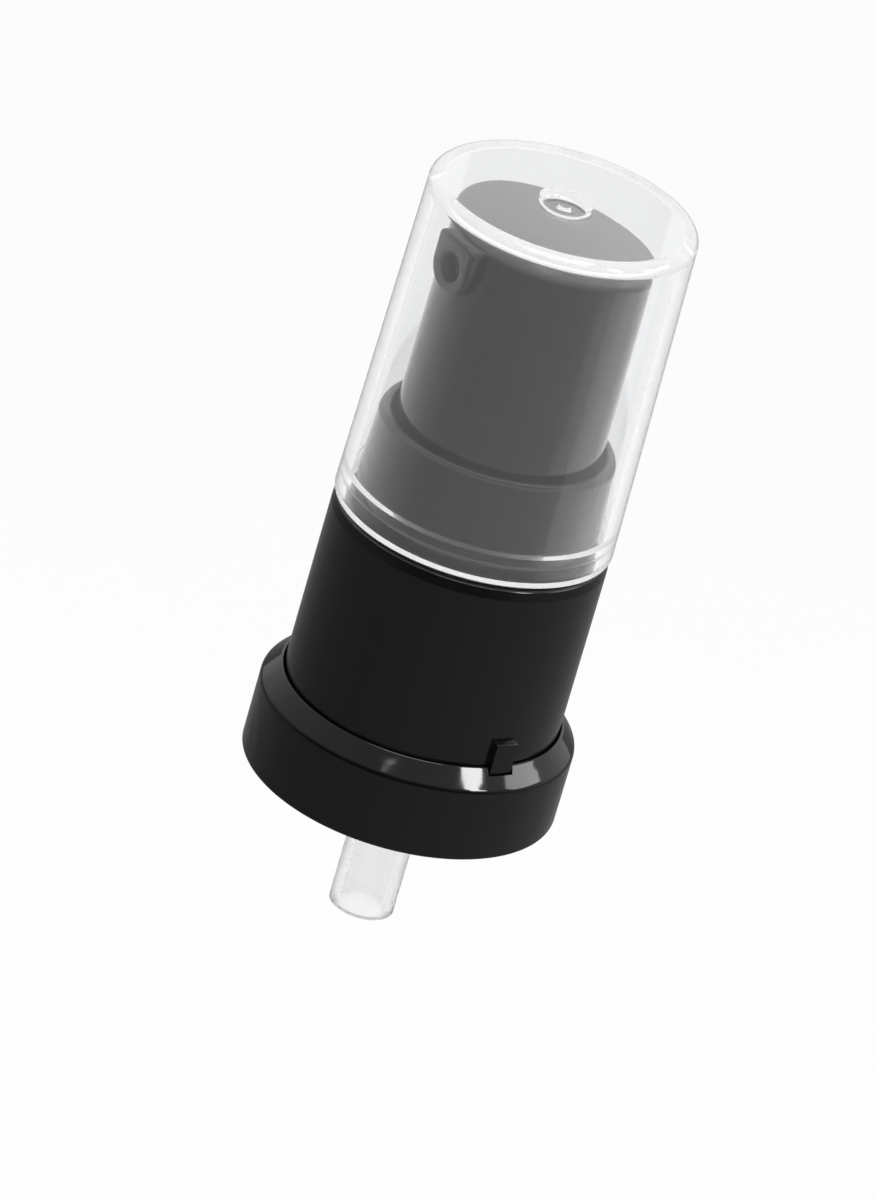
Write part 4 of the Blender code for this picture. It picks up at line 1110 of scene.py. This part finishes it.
def nozzle_boss():
    """The U carried along -Y from inside the shell's wall to the face, shrinking along a
    quarter circle at the front edge; both ends close on a point."""
    back = -(HEAD_TOP_RADIUS - HEAD_WALL / 2)
    sine, cosine = quarter_turn(FACE_POINTS)
    insets = np.concatenate([[0, 0], NOZZLE_ROUND * (1 - cosine), [NOZZLE_ROUND + HOLD]])
    depths = np.concatenate([[back, -NOZZLE_FACE + NOZZLE_ROUND + HOLD],
                             -NOZZLE_FACE + NOZZLE_ROUND * (1 - sine), [-NOZZLE_FACE]])
    loops = [boss_loop(inset) for inset in insets]
    rings = [np.stack([loop[:, 0], np.full(len(loop), depth), loop[:, 1]], axis=1)
             for loop, depth in zip(loops, depths)]
    pole = np.zeros((len(loops[0]), 3)) + (0, 0, NOZZLE_HEIGHT)
    grid = np.stack([pole + (0, back, 0)] + rings + [pole - (0, NOZZLE_FACE, 0)])
    return sheet_of_quads("fine_nozzle_boss", grid, wrap_rows=False)


def nozzle_bore():
    """Stepped round cutter: the channel, the insert's bore and a rounded mouth."""
    step, mouth = NOZZLE_FACE - NOZZLE_DEPTH, NOZZLE_FACE + MOUTH_ROUND
    sine, cosine = quarter_turn(MOUTH_POINTS)
    flare = np.stack([NOZZLE_BORE + MOUTH_ROUND * (1 - cosine),
                      NOZZLE_FACE - MOUTH_ROUND * (1 - sine)], axis=1)
    inner = [(0, 0), (CHANNEL_RADIUS, 0), (CHANNEL_RADIUS, step), (NOZZLE_BORE, step)]
    outer = [(NOZZLE_BORE + MOUTH_ROUND, mouth), (0, mouth)]
    outline = np.concatenate([inner, flare, outer])
    return laid_forward(turned("fine_nozzle_bore", outline, BORE_COLUMNS), NOZZLE_HEIGHT)


def actuator():
    """Shell, boss and channel tube in one, drilled from the face to the stem's socket."""
    head = combine(actuator_shell(), nozzle_boss(), "UNION")
    tube = laid_forward(rod_along("fine_channel_tube", CHANNEL_RADIUS * 2, SOCKET_BORE,
                                  HEAD_TOP_RADIUS - HEAD_WALL / 2), NOZZLE_HEIGHT)
    head = combine(head, tube, "UNION")
    return combine(head, nozzle_bore(), "DIFFERENCE")


stand_for(actuator(), "actuator", head_black)

# %% [markdown]
# ## Nozzle insert
#
# A small bushing sits back in the bore, dished round its orifice. It is turned round Z and laid
# forward.

# %% Nozzle insert
INSERT_GAP = 0.00015
INSERT_RECESS = 0.0012
INSERT_LENGTH = 0.0024
DISH_RADIUS = 0.0008
DISH_DEPTH = 0.0004
DISH_ROUND = 0.00008
ORIFICE_RADIUS = 0.00045
insert_front = NOZZLE_FACE - INSERT_RECESS

stand_for(laid_forward(turned("fine_nozzle_insert", profile([
    (ORIFICE_RADIUS, insert_front - INSERT_LENGTH, 0),
    (NOZZLE_BORE - INSERT_GAP, insert_front - INSERT_LENGTH, EDGE),
    (NOZZLE_BORE - INSERT_GAP, insert_front, EDGE),
    (DISH_RADIUS, insert_front, DISH_ROUND),
    (ORIFICE_RADIUS, insert_front - DISH_DEPTH, FINE),
]), BORE_COLUMNS), NOZZLE_HEIGHT), "nozzle_insert", insert_black)

# %% [markdown]
# ## Overcap
#
# The clear cap is the piece that the photograph shows most of. Its top is flat with a round
# edge, and in its middle is the gate well with a small nub, where the plastic flowed in. A bead
# low on the inner wall snaps under the guide ring, and the foot is bevelled inwards. The profile
# runs from the nub over the rim, down the wall, round the foot and back up inside. Its corners
# matter most here: the round edge over the sharper inner corner traps light, and the bevelled foot
# throws the bright line over the collar. Rays caught there end on the clear finish's painted white
# glow, so the pale rim and that line are partly refraction and partly painted light.

# %% Overcap
cap_low, cap_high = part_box("overcap")
CAP_FOOT, CAP_TOP = cap_low.z, cap_high.z
CAP_FOOT_RADIUS = 0.01220
CAP_TOP_RADIUS = 0.01158
CAP_WALL = 0.0011
CAP_FOOT_ROUND = 0.0002
CAP_FOOT_BEVEL = 0.0003
CAP_RIM_ROUND = 0.00105
CAP_PANEL = 0.00126
CAP_INNER_ROUND = 0.00035
BEAD_RADIUS = 0.0109
CAP_BEAD_FOOT, CAP_BEAD_TOP = 0.01325, 0.01395
CAP_BEAD_LEAD = 3.0
CAP_LEAD_ROUND = 0.0008
GATE_TOP_RADIUS = 0.00223
GATE_FLOOR_RADIUS = 0.00206
GATE_DEPTH = 0.0008
GATE_FLOOR = 0.0008
GATE_FLOOR_ROUND = 0.0005
GATE_BOSS = 0.0001
NUB_RADIUS = 0.00058
NUB_HEIGHT = 0.0003
NUB_ROUND = 0.00018
CAP_COLUMNS, CAP_STEPS = 288, 10
inner_foot = CAP_FOOT_RADIUS - CAP_WALL
under = CAP_TOP - CAP_PANEL
well = CAP_TOP - GATE_DEPTH
bead_slope = inner_foot - BEAD_RADIUS

stand_turned("overcap", cap_clear, [
    (0, well + NUB_HEIGHT, 0),
    (NUB_RADIUS, well + NUB_HEIGHT, NUB_ROUND),
    (NUB_RADIUS, well, EDGE),
    (GATE_FLOOR_RADIUS, well, GATE_FLOOR_ROUND),
    (GATE_TOP_RADIUS, CAP_TOP, MOULD),
    (CAP_TOP_RADIUS, CAP_TOP, CAP_RIM_ROUND),
    (CAP_FOOT_RADIUS, CAP_FOOT, CAP_FOOT_ROUND),
    (inner_foot, CAP_FOOT + CAP_FOOT_BEVEL, FINE),
    (inner_foot, CAP_BEAD_FOOT - bead_slope, EDGE),
    (BEAD_RADIUS, CAP_BEAD_FOOT, EDGE),
    (BEAD_RADIUS, CAP_BEAD_TOP, FULL),
    (inner_foot, CAP_BEAD_TOP + CAP_BEAD_LEAD * bead_slope, CAP_LEAD_ROUND),
    (CAP_TOP_RADIUS - CAP_WALL, under, CAP_INNER_ROUND),
    (GATE_FLOOR_RADIUS + GATE_BOSS, under, SOFT),
    (GATE_FLOOR_RADIUS, well - GATE_FLOOR, FULL),
    (0, well - GATE_FLOOR, 0),
], CAP_COLUMNS, CAP_STEPS)

# %% [markdown]
# ## Floor and studio
#
# The photograph shows the pump cut out on white. The floor lies as low as the foot of a bottle
# would, so its soft shadow stays near the bottom of the picture. Camera rays, and rays that the
# clear parts pass on, see white there. Mirrored rays see a studio instead, with a grey floor. For
# rays mirrored inside the cap that floor is darker on the camera's side and has a pale card at
# the right. The light on the object stays at a plain level. Light Path tells the rays apart.

# %% Floor
BOUNCED_DEPTH = 0.5
FLOOR_DROP = 0.11
FLOOR_HALF = 3.0
FLOOR_SHADOW_SHARE = 0.12
FLOOR_GLOSS_LEVEL = 0.135
FLOOR_GLOSS_RISE = 0.04
FLOOR_AHEAD = 0.5
FLOOR_ASIDE = 1.25
AHEAD_SPAN = (-0.3, 0.6)
CARD_EDGE = 0.919
CARD_BLUR = 0.007
CARD_LEVEL = 0.45


def seen_level(tree, direct, mirrored, lit, inside=1.0):
    """Strength by the kind of ray: direct for camera and transmission rays, times inside where
    something in the cap has mirrored them first; mirrored for glossy rays, lit for the rest."""
    def choice(share, one, other):
        """A step from one to the other: one + share (other - one)."""
        return math_node(tree, "MULTIPLY_ADD", share, math_node(tree, "SUBTRACT", other, one), one)

    ray = add_node(tree, "LightPath").outputs
    straight = math_node(tree, "MAXIMUM", ray["Is Camera Ray"], ray["Is Transmission Ray"])
    bounced = math_node(tree, "GREATER_THAN", ray["Glossy Depth"], BOUNCED_DEPTH)
    direct = math_node(tree, "MULTIPLY", direct, choice(bounced, 1.0, inside))
    return choice(straight, choice(ray["Is Glossy Ray"], lit, mirrored), direct)


def cosine_to(tree, way, direction):
    """Cosine between a way and a fixed direction, both of length 1."""
    return add_node(tree, "VectorMath", {0: way, 1: direction},
                    operation="DOT_PRODUCT").outputs["Value"]


def floor_studio(tree):
    """Two levels by the way round the pump, from cosines between a floor point's way from the
    axis and the camera's side, ahead, or the way to its right, beside. Rays mirrored inside the
    cap see less ahead and more on a card at the right; rays mirrored outside see a slow rise
    from left to right."""
    place = add_node(tree, "TexCoord").outputs["Object"]
    level = add_node(tree, "VectorMath", {0: place, 1: (1, 1, 0)}, operation="MULTIPLY")
    way = add_node(tree, "VectorMath", {0: level.outputs["Vector"]}, operation="NORMALIZE")
    ahead = cosine_to(tree, way.outputs["Vector"], way_to(CAMERA_AZIMUTH, 0))
    beside = cosine_to(tree, way.outputs["Vector"], way_to(CAMERA_AZIMUTH + QUARTER, 0))
    open_floor = ramp(tree, ahead, *AHEAD_SPAN, FLOOR_ASIDE, FLOOR_AHEAD)
    card = ramp(tree, beside, CARD_EDGE - CARD_BLUR, CARD_EDGE + CARD_BLUR, 0, CARD_LEVEL)
    inside = math_node(tree, "ADD", open_floor, card)
    return inside, math_node(tree, "MULTIPLY_ADD", beside, FLOOR_GLOSS_RISE, FLOOR_GLOSS_LEVEL)


def make_floor():
    """Flat square below the part: a grid of two rows and two columns."""
    level = cad_low.z - FLOOR_DROP
    span = np.array([-FLOOR_HALF, FLOOR_HALF])
    x, y = np.meshgrid(span, span)
    floor = sheet_of_quads("floor", np.stack([x, y, level + 0 * x], axis=-1), False, False)
    surface, tree, shader = start_finish("floor white", Roughness=0.9)
    wear(tree, shader, noise(tree, scale=30.0), colours=((0.86, 0.86, 0.86), (0.9, 0.9, 0.9)))
    inside, outside = floor_studio(tree)
    glow = white_glow(tree, seen_level(tree, 1.0, outside, 0.0, inside))
    shown = 1 - FLOOR_SHADOW_SHARE
    shown_as(tree, mixed(tree, seen_level(tree, shown, shown, 0.0), shader.outputs["BSDF"], glow))
    floor.data.materials.append(surface)
    floor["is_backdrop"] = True
    print("floor at z in mm:", round(level * 1000, 1))


make_floor()

# %% [markdown]
# ## World
#
# The world follows the same rule: white where it is seen, a bright wall behind for mirrored rays,
# and a sky that is brighter overhead for rays mirrored inside the cap.

# %% World
WORLD_LEVEL = 0.62
SKY_AZIMUTH = math.radians(222)
SKY_ELEVATION = math.radians(50)
SKY_SPAN = (-0.2, 0.85)
ZENITH_SPAN = (0.6, 0.8)
ZENITH_LEVEL = 1.9


def make_world():
    """One background whose strength depends on the ray and on where it goes."""
    world = bpy.data.worlds.new("studio")
    world.use_nodes = True
    tree = world.node_tree
    back = tree.nodes["Background"]
    back.inputs["Color"].default_value = (1, 1, 1, 1)
    way = add_node(tree, "TexCoord").outputs["Generated"]
    toward = cosine_to(tree, way, way_to(SKY_AZIMUTH, SKY_ELEVATION))
    upward = cosine_to(tree, way, (0, 0, 1))
    tree.links.new(seen_level(tree, 1.0, ramp(tree, toward, *SKY_SPAN, 0, 1), WORLD_LEVEL,
                              ramp(tree, upward, *ZENITH_SPAN, 1, ZENITH_LEVEL)),
                   back.inputs["Strength"])
    bpy.context.scene.world = world
    print("world:", world.name, "with", len(tree.nodes), "nodes")


make_world()

# %% [markdown]
# ## Lamps
#
# A broad softbox overhead gives most of the light. A smaller one, high at the right, is what the
# base ring's slope mirrors as its bright patch, and a far one makes the grey patch beside it.
# Only mirrored rays see the lamps; refracted rays that find such a small lamp make only noise.

# %% Lamps
def softbox(name, azimuth, elevation, distance, size, power):
    """Rectangular lamp on a sphere round the pump's middle, aimed at it."""
    lamp = bpy.data.lights.new(name, "AREA")
    lamp.shape = "RECTANGLE"
    lamp.size, lamp.size_y = size
    lamp.energy = power
    box = bpy.data.objects.new(name, lamp)
    way = way_to(math.radians(azimuth), math.radians(elevation))
    box.location = SIGHT + way * distance
    box.rotation_euler = way.to_track_quat("Z", "Y").to_euler()
    box.visible_camera = False
    box.visible_transmission = False
    bpy.context.scene.collection.objects.link(box)
    print(f"{name}: {power} W")


softbox("overhead softbox", azimuth=60, elevation=72, distance=0.60, size=(0.40, 0.40), power=1.6)
softbox("right softbox", azimuth=111, elevation=37, distance=0.55, size=(0.10, 0.16), power=1.0)
softbox("far softbox", azimuth=150, elevation=26, distance=0.55, size=(0.26, 0.14), power=0.50)
bpy.context.scene.view_settings.view_transform = "Standard"

# %% [markdown]
# ## Sizes
#
# The dressed part's box is measured, and how far each of its bounds lies from the imported
# model's box is printed. The dressed part has to stay inside the imported model's box.

# %% Finish
new_low, new_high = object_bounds()
pairs = zip((*new_low, *new_high), (*cad_low, *cad_high))
print("box changes by", [round(new - old, 5) for new, old in pairs])
